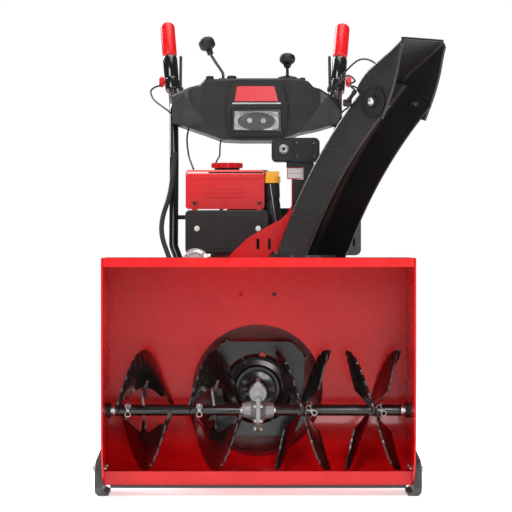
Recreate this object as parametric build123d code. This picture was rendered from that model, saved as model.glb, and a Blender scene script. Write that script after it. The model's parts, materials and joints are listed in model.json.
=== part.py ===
from build123d import *
import math
import os

# Two-stage snowblower. Millimetres. +Z up, the intake faces -Y, the ground is Z = 0,
# and the origin lies on the ground midway between the wheels, under the axle.

# Auger housing
HOUSING_WIDTH = 770.0
HOUSING_FRONT_Y = -710.0
HOUSING_BACK_Y = -360.0
HOUSING_TOP_Z = 592.0
HOUSING_SHEET = 4.0
LIP_HEIGHT = 22.0
LIP_SIDE_INSET = 6.0
SCRAPER_Z = 24.0
SHOE_THICKNESS = 20.0
SHOE_FOOT = 12.0
CRADLE_RADIUS = 163.0

# Auger
AUGER_Y = -520.0
AUGER_Z = 210.0
AUGER_RADIUS = 153.0
FLIGHT_INNER_RADIUS = 62.0
FLIGHT_THICKNESS = 4.0
FLIGHT_HALF_LENGTH = 66.0
INNER_GROUP_X = 110.0
OUTER_GROUP_X = 286.0
TUBE_RADIUS = 14.0
SHAFT_RADIUS = 9.5
RUN_GAP = 0.05

# Impeller and its drum
DRUM_Z = 253.0
DRUM_RADIUS = 167.0
DRUM_BACK_Y = -174.0
IMPELLER_RADIUS = 158.0

# Chute
CHUTE_X = 120.0
CHUTE_Y = -242.0
RING_Z = 578.0
RING_BORE = 70.0
CHUTE_HEADING = 45.0
CHUTE_WIDTH = 154.0
CHUTE_WALL = 4.0
CHUTE_BEND = 1229.0
CHUTE_LEAN_LOW = 23.0
CHUTE_LEAN_HIGH = 48.0
PIVOT_REACH = 321.0
PIVOT_Z = 983.0
PIVOT_BOLT_RADIUS = 4.0

# Wheels
AXLE_Z = 203.0
TYRE_RADIUS = 203.0
LUG_ROWS = 16
TYRE_WIDTH = 124.0
WHEEL_X = 252.0
RIM_RADIUS = 104.0
AXLE_RADIUS = 9.5

# Engine
PULLEY_Y = -80.0
TRACTION_Y = -58.0
CRANK_Z = 560.0
ENGINE_FRONT_Y = -60.0
COVER_LEFT_X = -190.0
COVER_RIGHT_X = 20.0

# Handles and dash
HANDLE_X = 228.0
HANDLE_RADIUS = 12.5
DASH_Y = 320.0
GRIP_RADIUS = 19.0


def block(x0, x1, y0, y1, z0, z1):
    """A box given by its two opposite corners."""
    size = (x1 - x0, y1 - y0, z1 - z0)
    centre = ((x0 + x1) / 2, (y0 + y1) / 2, (z0 + z1) / 2)
    return Pos(*centre) * Box(*size)


def rod(start, end, radius):
    """A round bar between two points."""
    a = Vector(*start)
    b = Vector(*end)
    return Solid.make_cylinder(radius, (b - a).length, Plane(origin=a, z_dir=b - a))


def pipe(start, end, outer, inner):
    """A round tube between two points."""
    return rod(start, end, outer) - rod(start, end, inner)


def slab(points, direction, thickness):
    """A flat plate: a closed outline of 3-D points, pushed along a direction."""
    face = Face(Wire.make_polygon([Vector(*p) for p in points], close=True))
    return Solid.extrude(face, Vector(*direction).normalized() * thickness)


def side_slab(outline, x0, x1):
    """A plate standing across X from an outline of (y, z) points."""
    return slab([(x0, y, z) for y, z in outline], (1, 0, 0), x1 - x0)


def front_slab(outline, y0, y1):
    """A plate standing across Y from an outline of (x, z) points."""
    return slab([(x, y0, z) for x, z in outline], (0, 1, 0), y1 - y0)


def bent_bar(points, radius, corner):
    """A round bar along a line of points with rounded corners."""
    path = FilletPolyline(*points, radius=corner)
    start = path @ 0
    profile = Plane(origin=start, z_dir=path % 0) * Circle(radius)
    return sweep(profile, path=path)


def join(pieces):
    """One solid from many touching pieces."""
    pieces = list(pieces)
    whole = pieces[0]
    for piece in pieces[1:]:
        whole = whole + piece
    return whole


def group(pieces):
    """Separate identical solids kept together as one named piece."""
    solids = []
    for piece in pieces:
        solids.extend(piece.solids())
    return Compound(children=solids)


def ring_points(count, radius, start=0.0):
    """Points spread evenly round a circle."""
    step = 2 * math.pi / count
    return [
        (radius * math.cos(start + i * step), radius * math.sin(start + i * step))
        for i in range(count)
    ]


# ---------------------------------------------------------------- front end

def housing_side_outline():
    """Side plate outline (y, z), with the front corner swept back at the bottom."""
    front = HOUSING_FRONT_Y
    back = AUGER_Y + CRADLE_RADIUS + HOUSING_SHEET
    return [
        (front, HOUSING_TOP_Z - 4),
        (front, 150),
        (front + 20, 96),
        (front + 62, 52),
        (front + 130, 27),
        (back - 60, 27),
        (back, 70),
        (back, HOUSING_TOP_Z - 4),
    ]


def cradle():
    """The curved bottom that the auger turns in, and the flat back above it."""
    half = HOUSING_WIDTH / 2 - HOUSING_SHEET
    centre = (0, AUGER_Y, AUGER_Z)
    shell = pipe(
        (-half, AUGER_Y, AUGER_Z), (half, AUGER_Y, AUGER_Z),
        CRADLE_RADIUS + HOUSING_SHEET, CRADLE_RADIUS,
    )
    keep = block(-half, half, AUGER_Y - 60, HOUSING_BACK_Y + 20, 0, AUGER_Z)
    floor = shell & keep
    back = block(
        -half, half, AUGER_Y + CRADLE_RADIUS, AUGER_Y + CRADLE_RADIUS + HOUSING_SHEET,
        AUGER_Z, HOUSING_TOP_Z - 4,
    )
    return floor + back


def auger_housing():
    half = HOUSING_WIDTH / 2
    sides = [
        side_slab(housing_side_outline(), -half, -half + HOUSING_SHEET),
        side_slab(housing_side_outline(), half - HOUSING_SHEET, half),
    ]
    back_y = AUGER_Y + CRADLE_RADIUS + HOUSING_SHEET
    top = block(-half, half, HOUSING_FRONT_Y, back_y, HOUSING_TOP_Z - 4, HOUSING_TOP_Z)
    lip = block(
        -half + LIP_SIDE_INSET, half - LIP_SIDE_INSET,
        HOUSING_FRONT_Y - 3, HOUSING_FRONT_Y,
        HOUSING_TOP_Z - LIP_HEIGHT, HOUSING_TOP_Z,
    )
    toe = block(
        -half + 1, half - 1, AUGER_Y - 62, AUGER_Y - 58, SCRAPER_Z + 3, AUGER_Z - CRADLE_RADIUS + 14,
    )
    whole = join([cradle(), *sides, top, lip, toe])
    mouth = rod((0, HOUSING_BACK_Y - 60, DRUM_Z), (0, HOUSING_BACK_Y + 30, DRUM_Z), DRUM_RADIUS)
    whole = whole - mouth
    for x in (-42, 42):
        whole = whole - rod((x, back_y + 10, 497), (x, back_y - 20, 497), 5)
    for x in (-half, half):
        side = 1 if x > 0 else -1
        bore = rod((x - side * 20, AUGER_Y, AUGER_Z), (x + side * 20, AUGER_Y, AUGER_Z), 19)
        whole = whole - bore
        for dy in (-40, 40):
            y = AUGER_Y + dy
            whole = whole - rod((x - 20, y, 66), (x + 20, y, 66), 4.2)
    return whole


def impeller_housing():
    """The drum behind the housing, with the round throat that carries the chute."""
    front = AUGER_Y + CRADLE_RADIUS + HOUSING_SHEET
    skin = 3.0
    reach = front - 90
    drum = rod((0, reach, DRUM_Z), (0, DRUM_BACK_Y, DRUM_Z), DRUM_RADIUS + skin)
    throat = rod((CHUTE_X, CHUTE_Y, DRUM_Z), (CHUTE_X, CHUTE_Y, RING_Z - 8), 66)
    seat = rod((CHUTE_X, CHUTE_Y, RING_Z - 12), (CHUTE_X, CHUTE_Y, RING_Z - 8), 90)
    wall_side = block(-400, 400, reach - 5, front, AUGER_Z, 700)
    cradle_side = rod(
        (-400, AUGER_Y, AUGER_Z), (400, AUGER_Y, AUGER_Z), CRADLE_RADIUS + HOUSING_SHEET + 0.05,
    )
    outer = (drum + throat + seat) - wall_side - cradle_side
    hollow = rod((0, reach - 5, DRUM_Z), (0, DRUM_BACK_Y - skin, DRUM_Z), DRUM_RADIUS)
    channel = rod((CHUTE_X, CHUTE_Y, DRUM_Z + 60), (CHUTE_X, CHUTE_Y, RING_Z), 63)
    shaft_bore = rod((0, DRUM_BACK_Y - 20, DRUM_Z), (0, DRUM_BACK_Y + 20, DRUM_Z), 22)
    return outer - hollow - channel - shaft_bore


def scraper_bar():
    half = HOUSING_WIDTH / 2 - SHOE_FOOT - 5
    y = AUGER_Y - 62
    return block(-half, half, y - 4, y + 26, SCRAPER_Z - 4, SCRAPER_Z + 2.9)


def shoe_profile(side):
    """Upright section of a shoe, (x, z), as one side of the machine sees it."""
    inner = HOUSING_WIDTH / 2
    points = [
        (inner, 120), (inner + 5, 119), (inner + 17, 90), (inner + SHOE_THICKNESS, 60),
        (inner + SHOE_THICKNESS, 8), (inner + SHOE_THICKNESS - 7, 0), (inner - SHOE_FOOT, 0),
        (inner - SHOE_FOOT, 6), (inner, 12),
    ]
    return [(side * x, z) for x, z in points]


def skid_shoe(side):
    """A deep reversible shoe with two slots for its bolts."""
    y0 = AUGER_Y - 95
    y1 = AUGER_Y + 115
    body = front_slab(shoe_profile(side), y0, y1)
    outline = [
        (y0 + 26, 122), (y0, 84), (y0, 22), (y0 + 34, -1),
        (y1 - 34, -1), (y1, 22), (y1, 84), (y1 - 26, 122),
    ]
    shoe = body & side_slab(outline, -500, 500)
    for dy in (-40, 40):
        y = AUGER_Y + dy
        shoe = shoe - block(-500, 500, y - 4.4, y + 4.4, 46, 82)
    return shoe


def shoe_bolts():
    """Carriage bolts through the side plates, with their nuts outside the shoes."""
    made = []
    inner = HOUSING_WIDTH / 2
    outer = inner + SHOE_THICKNESS
    for side in (-1, 1):
        for dy in (-40, 40):
            y = AUGER_Y + dy
            stem = rod((side * (inner - 4.5), y, 66), (side * (outer + 6), y, 66), 4)
            head = rod((side * (inner - 7.5), y, 66), (side * (inner - 4.5), y, 66), 8)
            nut = rod((side * (outer + 0.2), y, 66), (side * (outer + 7), y, 66), 8)
            made.append(stem + head + nut)
    return group(made)


def auger_bearings():
    """Flanged bushings in the side plates."""
    made = []
    inner = HOUSING_WIDTH / 2
    for side in (-1, 1):
        flange = pipe(
            (side * inner, AUGER_Y, AUGER_Z), (side * (inner + 4), AUGER_Y, AUGER_Z),
            30, SHAFT_RADIUS + RUN_GAP,
        )
        sleeve = pipe(
            (side * (inner - 16), AUGER_Y, AUGER_Z), (side * inner, AUGER_Y, AUGER_Z),
            18.9, SHAFT_RADIUS + RUN_GAP,
        )
        made.append(flange + sleeve)
    return group(made)


# ---------------------------------------------------------------- auger and impeller

def flight(x_start, x_end, angle_start, angle_end):
    """A half-turn ribbon round the auger tube, tapered at both tips. Angle 0 faces the front."""
    steps = 12
    rows = []
    for i in range(steps + 1):
        t = i / steps
        angle = math.radians(angle_start + (angle_end - angle_start) * t)
        x = x_start + (x_end - x_start) * t
        tip = min(1.0, min(t, 1 - t) * 4 + 0.25)
        inner = AUGER_RADIUS - (AUGER_RADIUS - FLIGHT_INNER_RADIUS) * tip
        row = []
        for radius in (inner, (inner + AUGER_RADIUS) / 2, AUGER_RADIUS):
            row.append(Vector(
                x, AUGER_Y - radius * math.cos(angle), AUGER_Z + radius * math.sin(angle),
            ))
        rows.append(row)
    face = Face.make_surface_from_array_of_points(rows)
    return Solid.thicken(face, FLIGHT_THICKNESS)


def spoke(x, angle):
    """The flat arm that carries a flight on the tube."""
    c = math.cos(math.radians(angle))
    s = math.sin(math.radians(angle))
    length = FLIGHT_INNER_RADIUS + 14
    arm = Box(6, 26, length)
    arm = Pos(0, 0, length / 2 + TUBE_RADIUS - 4) * arm
    arm = Pos(x, AUGER_Y, AUGER_Z) * Rot(angle - 90, 0, 0) * arm
    return arm


def flight_group(x, turn, phase):
    """Two opposite half-turn flights with their spokes."""
    x0 = x - FLIGHT_HALF_LENGTH
    x1 = x + FLIGHT_HALF_LENGTH
    pieces = []
    for half in (0, 180):
        start = phase + half
        pieces.append(flight(x0, x1, start, start + turn * 180))
        pieces.append(spoke(x, start + turn * 90))
    return pieces


def auger(side):
    """One side's tube with its two groups of flights; the hands differ to feed the middle."""
    if side < 0:
        turn, phase = 1, 0
    else:
        turn, phase = -1, 90
    pieces = []
    for x in (INNER_GROUP_X, OUTER_GROUP_X):
        pieces.extend(flight_group(side * x, turn, phase))
    tube = rod((side * 44, AUGER_Y, AUGER_Z), (side * 358, AUGER_Y, AUGER_Z), TUBE_RADIUS)
    whole = join([tube, *pieces])
    bore = rod(
        (side * 20, AUGER_Y, AUGER_Z), (side * 380, AUGER_Y, AUGER_Z), SHAFT_RADIUS + RUN_GAP,
    )
    whole = whole - bore
    for x in pin_places(side):
        whole = whole - pin_hole(x, side, 3.1)
    return whole


def pin_places(side):
    if side < 0:
        return (-326, -147)
    return (133, 308)


def pin_hole(x, side, radius):
    """A cross hole through tube and shaft."""
    lean = 1 if side < 0 else 0.5
    dy = 30 * lean
    dz = 30 * (1.0 - lean * 0.5)
    return rod(
        (x, AUGER_Y - dy, AUGER_Z + dz), (x, AUGER_Y + dy, AUGER_Z - dz), radius,
    )


def auger_shaft():
    end = HOUSING_WIDTH / 2 + 6
    bar = rod((-end, AUGER_Y, AUGER_Z), (end, AUGER_Y, AUGER_Z), SHAFT_RADIUS)
    for side in (-1, 1):
        for x in pin_places(side):
            bar = bar - pin_hole(x, side, 3.1)
    return bar + worm_wheel()


def shear_pins():
    """The four pins that let an auger slip when it hits something hard."""
    made = []
    for side in (-1, 1):
        for x in pin_places(side):
            pin = pin_hole(x, side, 3.0)
            limit = rod((x - 20, AUGER_Y, AUGER_Z), (x + 20, AUGER_Y, AUGER_Z), 24)
            made.append(pin & limit)
    return group(made)


def worm_wheel():
    disc = rod((-9, AUGER_Y, AUGER_Z), (9, AUGER_Y, AUGER_Z), 29.5)
    return disc


def auger_gearbox():
    """The split casting round the worm and its wheel."""
    lobe = rod((-40, AUGER_Y, AUGER_Z), (40, AUGER_Y, AUGER_Z), 21)
    body = rod((-16, AUGER_Y, AUGER_Z), (16, AUGER_Y, AUGER_Z), 37)
    flange = rod((-5, AUGER_Y, AUGER_Z), (5, AUGER_Y, AUGER_Z), 52)
    hump = rod((0, AUGER_Y - 34, DRUM_Z), (0, AUGER_Y + 60, DRUM_Z), 22)
    plate = block(-5, 5, AUGER_Y - 34, AUGER_Y + 40, DRUM_Z, DRUM_Z + 35)
    snout = rod((0, AUGER_Y + 50, DRUM_Z), (0, AUGER_Y + 96, DRUM_Z), 17)
    whole = join([body, lobe, flange, hump, plate, snout])
    wheel_room = rod((-10, AUGER_Y, AUGER_Z), (10, AUGER_Y, AUGER_Z), 31)
    worm_room = rod((0, AUGER_Y - 26, DRUM_Z), (0, AUGER_Y + 30, DRUM_Z), 14)
    shaft_room = rod(
        (-60, AUGER_Y, AUGER_Z), (60, AUGER_Y, AUGER_Z), SHAFT_RADIUS + RUN_GAP,
    )
    input_room = rod(
        (0, AUGER_Y, DRUM_Z), (0, AUGER_Y + 120, DRUM_Z), SHAFT_RADIUS + RUN_GAP,
    )
    whole = whole - wheel_room - worm_room - shaft_room - input_room
    return join([whole, *gearbox_bolts()])


def gearbox_bolt_places():
    """Bolt places round the flange, from the auger axis (y, z)."""
    return [(-46, 10), (-38, -26), (0, -46), (38, -26), (46, 10)]


def gearbox_bolts():
    made = []
    for dy, dz in gearbox_bolt_places():
        y = AUGER_Y + dy
        z = AUGER_Z + dz
        made.append(rod((-9, y, z), (9, y, z), 4.5))
    return made


def impeller_shaft():
    """The shaft from the worm through the drum to the pulley."""
    bar = rod((0, AUGER_Y - 22, DRUM_Z), (0, PULLEY_Y + 16, DRUM_Z), SHAFT_RADIUS)
    worm = rod((0, AUGER_Y - 20, DRUM_Z), (0, AUGER_Y + 20, DRUM_Z), 13)
    return join([bar, worm, auger_pulley()])


def impeller():
    """A stamped disc with four thrower blades on a hub."""
    back = DRUM_BACK_Y - 12
    front = AUGER_Y + 148
    hub = rod((0, front + 20, DRUM_Z), (0, back, DRUM_Z), 24)
    corners = []
    for x, z in ring_points(8, 132, math.pi / 8):
        corners.append((x, DRUM_Z + z))
    disc = front_slab(corners, back - 5, back)
    pieces = [hub, disc]
    for i in range(4):
        a = math.radians(20 + 90 * i)
        blade = [
            (0, 4), (60, 4), (IMPELLER_RADIUS - 20, 4), (IMPELLER_RADIUS, 22),
            (IMPELLER_RADIUS - 3, 27), (IMPELLER_RADIUS - 24, 9), (60, 9), (0, 9),
        ]
        turned = []
        for r, t in blade:
            x = r * math.cos(a) - (t - 6) * math.sin(a)
            z = r * math.sin(a) + (t - 6) * math.cos(a)
            turned.append((x, DRUM_Z + z))
        pieces.append(front_slab(turned, front + 24, back))
    whole = join(pieces)
    bore = rod((0, front - 10, DRUM_Z), (0, back + 10, DRUM_Z), SHAFT_RADIUS + RUN_GAP)
    return whole - bore


def impeller_bearing():
    flange = pipe((0, DRUM_BACK_Y, DRUM_Z), (0, DRUM_BACK_Y + 5, DRUM_Z), 38,
                  SHAFT_RADIUS + RUN_GAP)
    sleeve = pipe((0, DRUM_BACK_Y - 3, DRUM_Z), (0, DRUM_BACK_Y + 16, DRUM_Z), 21.9,
                  SHAFT_RADIUS + RUN_GAP)
    return flange + sleeve


def pulley(x, z, y0, y1, radius, bore):
    """A V-belt pulley turning about Y."""
    middle = (y0 + y1) / 2
    disc = rod((x, y0, z), (x, y1, z), radius)
    groove = pipe((x, middle - 5, z), (x, middle + 5, z), radius + 5, radius - 8)
    return disc - groove - rod((x, y0 - 5, z), (x, y1 + 5, z), bore + RUN_GAP)


# ---------------------------------------------------------------- chute

def chute_frame():
    """The chute's own plane: X of this plane is its heading, Y is up, Z is to its left side."""
    a = math.radians(CHUTE_HEADING)
    heading = Vector(math.sin(a), -math.cos(a), 0)
    return Plane(
        origin=(CHUTE_X, CHUTE_Y, 0), x_dir=heading, z_dir=heading.cross(Vector(0, 0, 1)),
    )


def chute_slab(outline, width, offset=0.0):
    """A plate across the chute from an outline of (reach, height) points."""
    plane = chute_frame()
    points = [plane.from_local_coords(Vector(r, z, offset - width / 2)) for r, z in outline]
    face = Face(Wire.make_polygon(points, close=True))
    return Solid.extrude(face, plane.z_dir * width)


def spine(t):
    """Centre of the lower chute at t from 0 (ring) to 1 (pivot): reach, height and lean."""
    low = math.radians(CHUTE_LEAN_LOW)
    high = math.radians(CHUTE_LEAN_HIGH)
    lean = low + (high - low) * t
    reach = PIVOT_REACH - CHUTE_BEND * (math.cos(lean) - math.cos(high))
    height = PIVOT_Z - CHUTE_BEND * (math.sin(high) - math.sin(lean))
    return reach, height, lean


def chute_line(offset_low, offset_high, t0, t1, steps=7):
    """Points alongside the spine, offset square to it; positive is towards the open front."""
    line = []
    for i in range(steps + 1):
        t = t0 + (t1 - t0) * i / steps
        reach, height, lean = spine(t)
        offset = offset_low + (offset_high - offset_low) * t
        line.append((reach + offset * math.cos(lean), height - offset * math.sin(lean)))
    return line


CHUTE_BACK = 60.0
CHUTE_FRONT = 44.0


def chute_lower():
    """The moulded channel that bends forwards from the ring, open at its front."""
    back = chute_line(-CHUTE_BACK, -CHUTE_BACK, 0.0, 1.02)
    front = chute_line(CHUTE_FRONT, CHUTE_FRONT - 4, 0.0, 1.06)
    outer = chute_slab(back + front[::-1], CHUTE_WIDTH)
    inner_back = chute_line(-CHUTE_BACK + CHUTE_WALL, -CHUTE_BACK + CHUTE_WALL, -0.2, 1.2)
    inner_front = chute_line(CHUTE_FRONT + 60, CHUTE_FRONT + 60, -0.2, 1.2)
    inner = chute_slab(inner_back + inner_front[::-1], CHUTE_WIDTH - 2 * CHUTE_WALL)
    channel = outer - inner
    floor = block(-100, 400, -600, 0, RING_Z - 60, RING_Z + 4)
    low = block(-100, 400, -600, 0, RING_Z - 60, HOUSING_TOP_Z + 2.5)
    turning = rod((CHUTE_X, CHUTE_Y, RING_Z - 90), (CHUTE_X, CHUTE_Y, RING_Z + 90), 80)
    channel = channel - floor - (low - turning)
    base = rod((CHUTE_X, CHUTE_Y, RING_Z + 4), (CHUTE_X, CHUTE_Y, RING_Z + 9), 92)
    collar = rod((CHUTE_X, CHUTE_Y, RING_Z + 4), (CHUTE_X, CHUTE_Y, RING_Z + 20), 86)
    bore = rod((CHUTE_X, CHUTE_Y, RING_Z - 4), (CHUTE_X, CHUTE_Y, RING_Z + 40), RING_BORE)
    whole = join([channel, (base + collar) - bore, cable_barrel()])
    return whole - rod(pivot_point(-200), pivot_point(200), PIVOT_BOLT_RADIUS + RUN_GAP)


def pivot_point(offset):
    """A point on the deflector's pivot axis, offset to the chute's left side."""
    return chute_frame().from_local_coords(Vector(PIVOT_REACH, PIVOT_Z, offset))


def deflector():
    """The hood above the pivot, open at its front, that aims the snow down or up."""
    skin = 4.0
    outline = [
        (256, 1016), (266, 1036), (290, 1062), (338, 1090), (410, 1132), (428, 1140),
        (434, 1128), (409, 1070), (386, 1000), (352, 940), (322, 946), (292, 966),
    ]
    inside = [
        (252, 1006), (269, 1030), (292, 1057), (340, 1085), (412, 1127), (470, 1160),
        (520, 1000), (420, 900), (300, 900), (270, 960),
    ]
    outer = chute_slab(outline, CHUTE_WIDTH + 2 * (skin + 1))
    inner = chute_slab(inside, CHUTE_WIDTH + 2)
    hood = outer - inner
    return hood - rod(pivot_point(-200), pivot_point(200), PIVOT_BOLT_RADIUS + RUN_GAP)


def pivot_bolts():
    """Bolts through lower chute and deflector; the left one also carries the tilt sector."""
    wall = CHUTE_WIDTH / 2
    made = []
    for side, reach in ((1, 10), (-1, 5)):
        near = side * (wall - CHUTE_WALL)
        stem = rod(
            pivot_point(near - side * 5), pivot_point(side * (wall + reach + 5)),
            PIVOT_BOLT_RADIUS,
        )
        head = rod(
            pivot_point(side * (wall + reach + 0.1)),
            pivot_point(side * (wall + reach + 5)), 9,
        )
        nut = rod(pivot_point(near - side * 6), pivot_point(near - side * 0.1), 7)
        made.append(stem + head + nut)
    return group(made)


def tilt_sector():
    """The round plate that the tilt cable turns, fixed to the deflector's left cheek."""
    face = CHUTE_WIDTH / 2 + 5
    disc = rod(pivot_point(face), pivot_point(face + 4.5), 40)
    return disc - rod(pivot_point(0), pivot_point(200), PIVOT_BOLT_RADIUS + RUN_GAP)


def cable_barrel():
    """The end stop of the tilt cable's sleeve, on a small bracket above the sector."""
    frame = chute_frame()
    start = frame.from_local_coords(Vector(262, 1000, CHUTE_WIDTH / 2 + 12))
    end = frame.from_local_coords(Vector(240, 970, CHUTE_WIDTH / 2 + 12))
    tab_a = frame.from_local_coords(Vector(250, 960, CHUTE_WIDTH / 2 - 2))
    tab_b = frame.from_local_coords(Vector(250, 960, CHUTE_WIDTH / 2 + 16))
    return rod(start, end, 6) + rod(end, tab_b, 3) + rod(tab_a, tab_b, 5)


RING_TEETH = 48
PINION_TEETH = 12
RING_PITCH_RADIUS = 96.0
TOOTH_ROOT = 5.0
TOOTH_TIP = 2.6
PINION_X = 100.0
PINION_PITCH_RADIUS = RING_PITCH_RADIUS * PINION_TEETH / RING_TEETH
CENTRE_DISTANCE = RING_PITCH_RADIUS + PINION_PITCH_RADIUS
PINION_Y = CHUTE_Y + math.sqrt(CENTRE_DISTANCE ** 2 - (PINION_X - CHUTE_X) ** 2)


def gear(x, y, z0, z1, pitch, teeth, start):
    """A spur gear with straight-sided teeth about Z."""
    body = rod((x, y, z0), (x, y, z1), pitch - 3)
    pieces = [body]
    for i in range(teeth):
        a = start + 2 * math.pi * i / teeth
        outline = [
            (pitch - 5, -TOOTH_ROOT / 2), (pitch - 3, -TOOTH_ROOT / 2),
            (pitch + 2.4, -TOOTH_TIP / 2), (pitch + 2.4, TOOTH_TIP / 2),
            (pitch - 3, TOOTH_ROOT / 2), (pitch - 5, TOOTH_ROOT / 2),
        ]
        points = []
        for r, t in outline:
            px = x + r * math.cos(a) - t * math.sin(a)
            py = y + r * math.sin(a) + t * math.cos(a)
            points.append((px, py, z0))
        pieces.append(slab(points, (0, 0, 1), z1 - z0))
    return pieces[0].fuse(*pieces[1:])


def mesh_angle():
    """Direction from the chute axis to the pinion."""
    return math.atan2(PINION_Y - CHUTE_Y, PINION_X - CHUTE_X)


def chute_ring():
    wheel = gear(
        CHUTE_X, CHUTE_Y, RING_Z - 7.9, RING_Z + 3.9, RING_PITCH_RADIUS, RING_TEETH,
        mesh_angle(),
    )
    bore = rod((CHUTE_X, CHUTE_Y, RING_Z - 20), (CHUTE_X, CHUTE_Y, RING_Z + 20), RING_BORE)
    return wheel - bore


def chute_pinion():
    start = mesh_angle() + math.pi + math.pi / PINION_TEETH
    wheel = gear(
        PINION_X, PINION_Y, RING_Z - 7, RING_Z + 7, PINION_PITCH_RADIUS, PINION_TEETH, start,
    )
    top = rod((PINION_X, PINION_Y, RING_Z), (PINION_X, PINION_Y, 852), 6)
    return wheel + top


def chute_bracket():
    """The pressed steel upright that carries the control head, with a rolled left rim."""
    y = -138.0
    edge = [
        (-77, 590), (-62, 606), (-25, 642), (20, 668), (64, 692), (80, 708), (91, 728),
        (91, 799.5),
    ]
    right = [
        (-77, 432), (28, 432), (28, 590), (40, 606), (150, 606), (150, 690), (104, 706),
        (104, 799.5),
    ]
    plate = front_slab(right + edge[::-1], y, y + 3)
    inside = [(x + 2.4, z - 3) for x, z in edge[1:-1]]
    rim = front_slab(edge[1:-1] + inside[::-1], y + 1, y + 12)
    foot = block(-76, 27, y - 20, y + 2, 431.5, 435)
    shelf = block(94, 103, y + 1, -80, 796, 799)
    whole = join([plate, foot, shelf, rim])
    for x in (2, 33):
        whole = whole - block(x - 4, x + 4, y - 20, y + 5, 612, 640)
    whole = whole + shaft_block()
    return whole - rod((PINION_X, PINION_Y, 700), (PINION_X, PINION_Y, 900), 6 + RUN_GAP)


def shaft_block():
    """The coupler between the upright and the control head."""
    return block(80, 120, PINION_Y - 18, PINION_Y + 18, 798, 828)


def control_head():
    """The gear housing that turns the chute's upright shaft."""
    body = block(39, 165, -156, -72, 843, 906)
    body = fillet(body.edges().filter_by(Axis.Y), 14)
    neck = block(78, 122, PINION_Y - 22, PINION_Y + 20, 828.1, 846)
    tab = block(43, 92, -164, -156, 846, 898)
    shroud = block(93.5, 150, -146, -142.2, 696, 796.5) + block(121.5, 150, -146, -142.2, 790, 850)
    whole = join([body, neck, tab, head_bolt(), shroud])
    room = rod((PINION_X, PINION_Y, 800), (PINION_X, PINION_Y, 853), 6 + RUN_GAP)
    return whole - room


def head_bolt():
    return rod((70, -172, 876), (70, -164, 876), 9)


def control_rod():
    """The bar from the dash that turns the control head."""
    return rod((104, -71.5, 880), (104, DASH_Y - 64, 914), 5)


# ---------------------------------------------------------------- drive and wheels

FRAME_HALF = 136.0
FRAME_TOP_Z = 428.0
FRAME_BACK_Y = 150.0
FRAME_FRONT_Y = DRUM_BACK_Y + 0.0


def drive_frame():
    """The steel box that carries engine, axle and handles."""
    front = FRAME_FRONT_Y
    sides = []
    for side in (-1, 1):
        x0 = side * FRAME_HALF
        outline = [
            (front, 110), (60, 110), (FRAME_BACK_Y, 170), (FRAME_BACK_Y, FRAME_TOP_Z),
            (front, FRAME_TOP_Z),
        ]
        low, high = min(x0, x0 + side * 3), max(x0, x0 + side * 3)
        sides.append(side_slab(outline, low, high))
    top = block(-139, 139, front, FRAME_BACK_Y, FRAME_TOP_Z, FRAME_TOP_Z + 3)
    face = block(-139, 139, front, front + 3, 110, FRAME_TOP_Z + 3)
    back = block(-139, 139, FRAME_BACK_Y, FRAME_BACK_Y + 3, 170, FRAME_TOP_Z + 3)
    whole = join([top, face, back, *sides])
    whole = whole - rod((0, front - 9, DRUM_Z), (0, front + 9, DRUM_Z), 39)
    whole = whole - rod((-200, 0, AXLE_Z), (200, 0, AXLE_Z), 16)
    whole = whole - block(-70, 70, -102, -40, FRAME_TOP_Z - 9, FRAME_TOP_Z + 9)
    return join([whole, bottom_cover(), *axle_bushings()])


def bottom_cover():
    return block(-139, 139, FRAME_FRONT_Y, 60, 107, 110)


def axle_bushings():
    made = []
    for side in (-1, 1):
        sleeve = pipe((side * 130, 0, AXLE_Z), (side * 146, 0, AXLE_Z), 17,
                      AXLE_RADIUS + RUN_GAP)
        made.append(sleeve)
    return made


def half_axle(side):
    return rod((side * 46, 0, AXLE_Z), (side * 330, 0, AXLE_Z), AXLE_RADIUS)


def transmission():
    """The steering differential between the half axles."""
    body = rod((-60, 0, AXLE_Z), (60, 0, AXLE_Z), 52)
    ribs = pipe((-6, 0, AXLE_Z), (6, 0, AXLE_Z), 60, 40)
    lug = block(-45, 45, 40, FRAME_BACK_Y, AXLE_Z - 12, AXLE_Z + 12)
    room = rod((-100, 0, AXLE_Z), (100, 0, AXLE_Z), AXLE_RADIUS + RUN_GAP)
    return (body + ribs + lug) - room


def revolve_about_axle(outline, x):
    """A wheel part turned from an outline of (radius, offset) points."""
    points = [Vector(x + w, 0, AXLE_Z + r) for r, w in outline]
    face = Face(Wire.make_polygon(points, close=True))
    return revolve(face, Axis((0, 0, AXLE_Z), (1, 0, 0)), 360)


def tyre(side):
    """A tyre with angled block tread."""
    half = TYRE_WIDTH / 2
    outline = [
        (RIM_RADIUS, -half + 14), (RIM_RADIUS + 6, -half + 4), (150, -half),
        (178, -half + 6), (190, -half + 20), (191, half - 20), (178, half - 6),
        (150, half), (RIM_RADIUS + 6, half - 4), (RIM_RADIUS, half - 14),
        (RIM_RADIUS + 8, half - 22), (RIM_RADIUS + 40, half - 14), (170, half - 20),
        (170, -half + 20), (RIM_RADIUS + 40, -half + 14), (RIM_RADIUS + 8, -half + 22),
    ]
    casing = revolve_about_axle(outline, side * WHEEL_X)
    lugs = []
    for i in range(LUG_ROWS):
        for lug_side in (-1, 1):
            turn = 360 / LUG_ROWS * (i + (0.5 if lug_side > 0 else 0))
            lug = Rot(0, 0, lug_side * 24) * Box(half - 8, 22, TYRE_RADIUS - 186)
            lug = Pos(lug_side * half / 2, 0, (TYRE_RADIUS + 186) / 2) * lug
            lugs.append(Pos(side * WHEEL_X, 0, AXLE_Z) * Rot(turn, 0, 0) * lug)
    whole = casing.fuse(*lugs)
    limit = rod(
        (side * WHEEL_X - half, 0, AXLE_Z), (side * WHEEL_X + half, 0, AXLE_Z), TYRE_RADIUS,
    )
    return whole & limit


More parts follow.
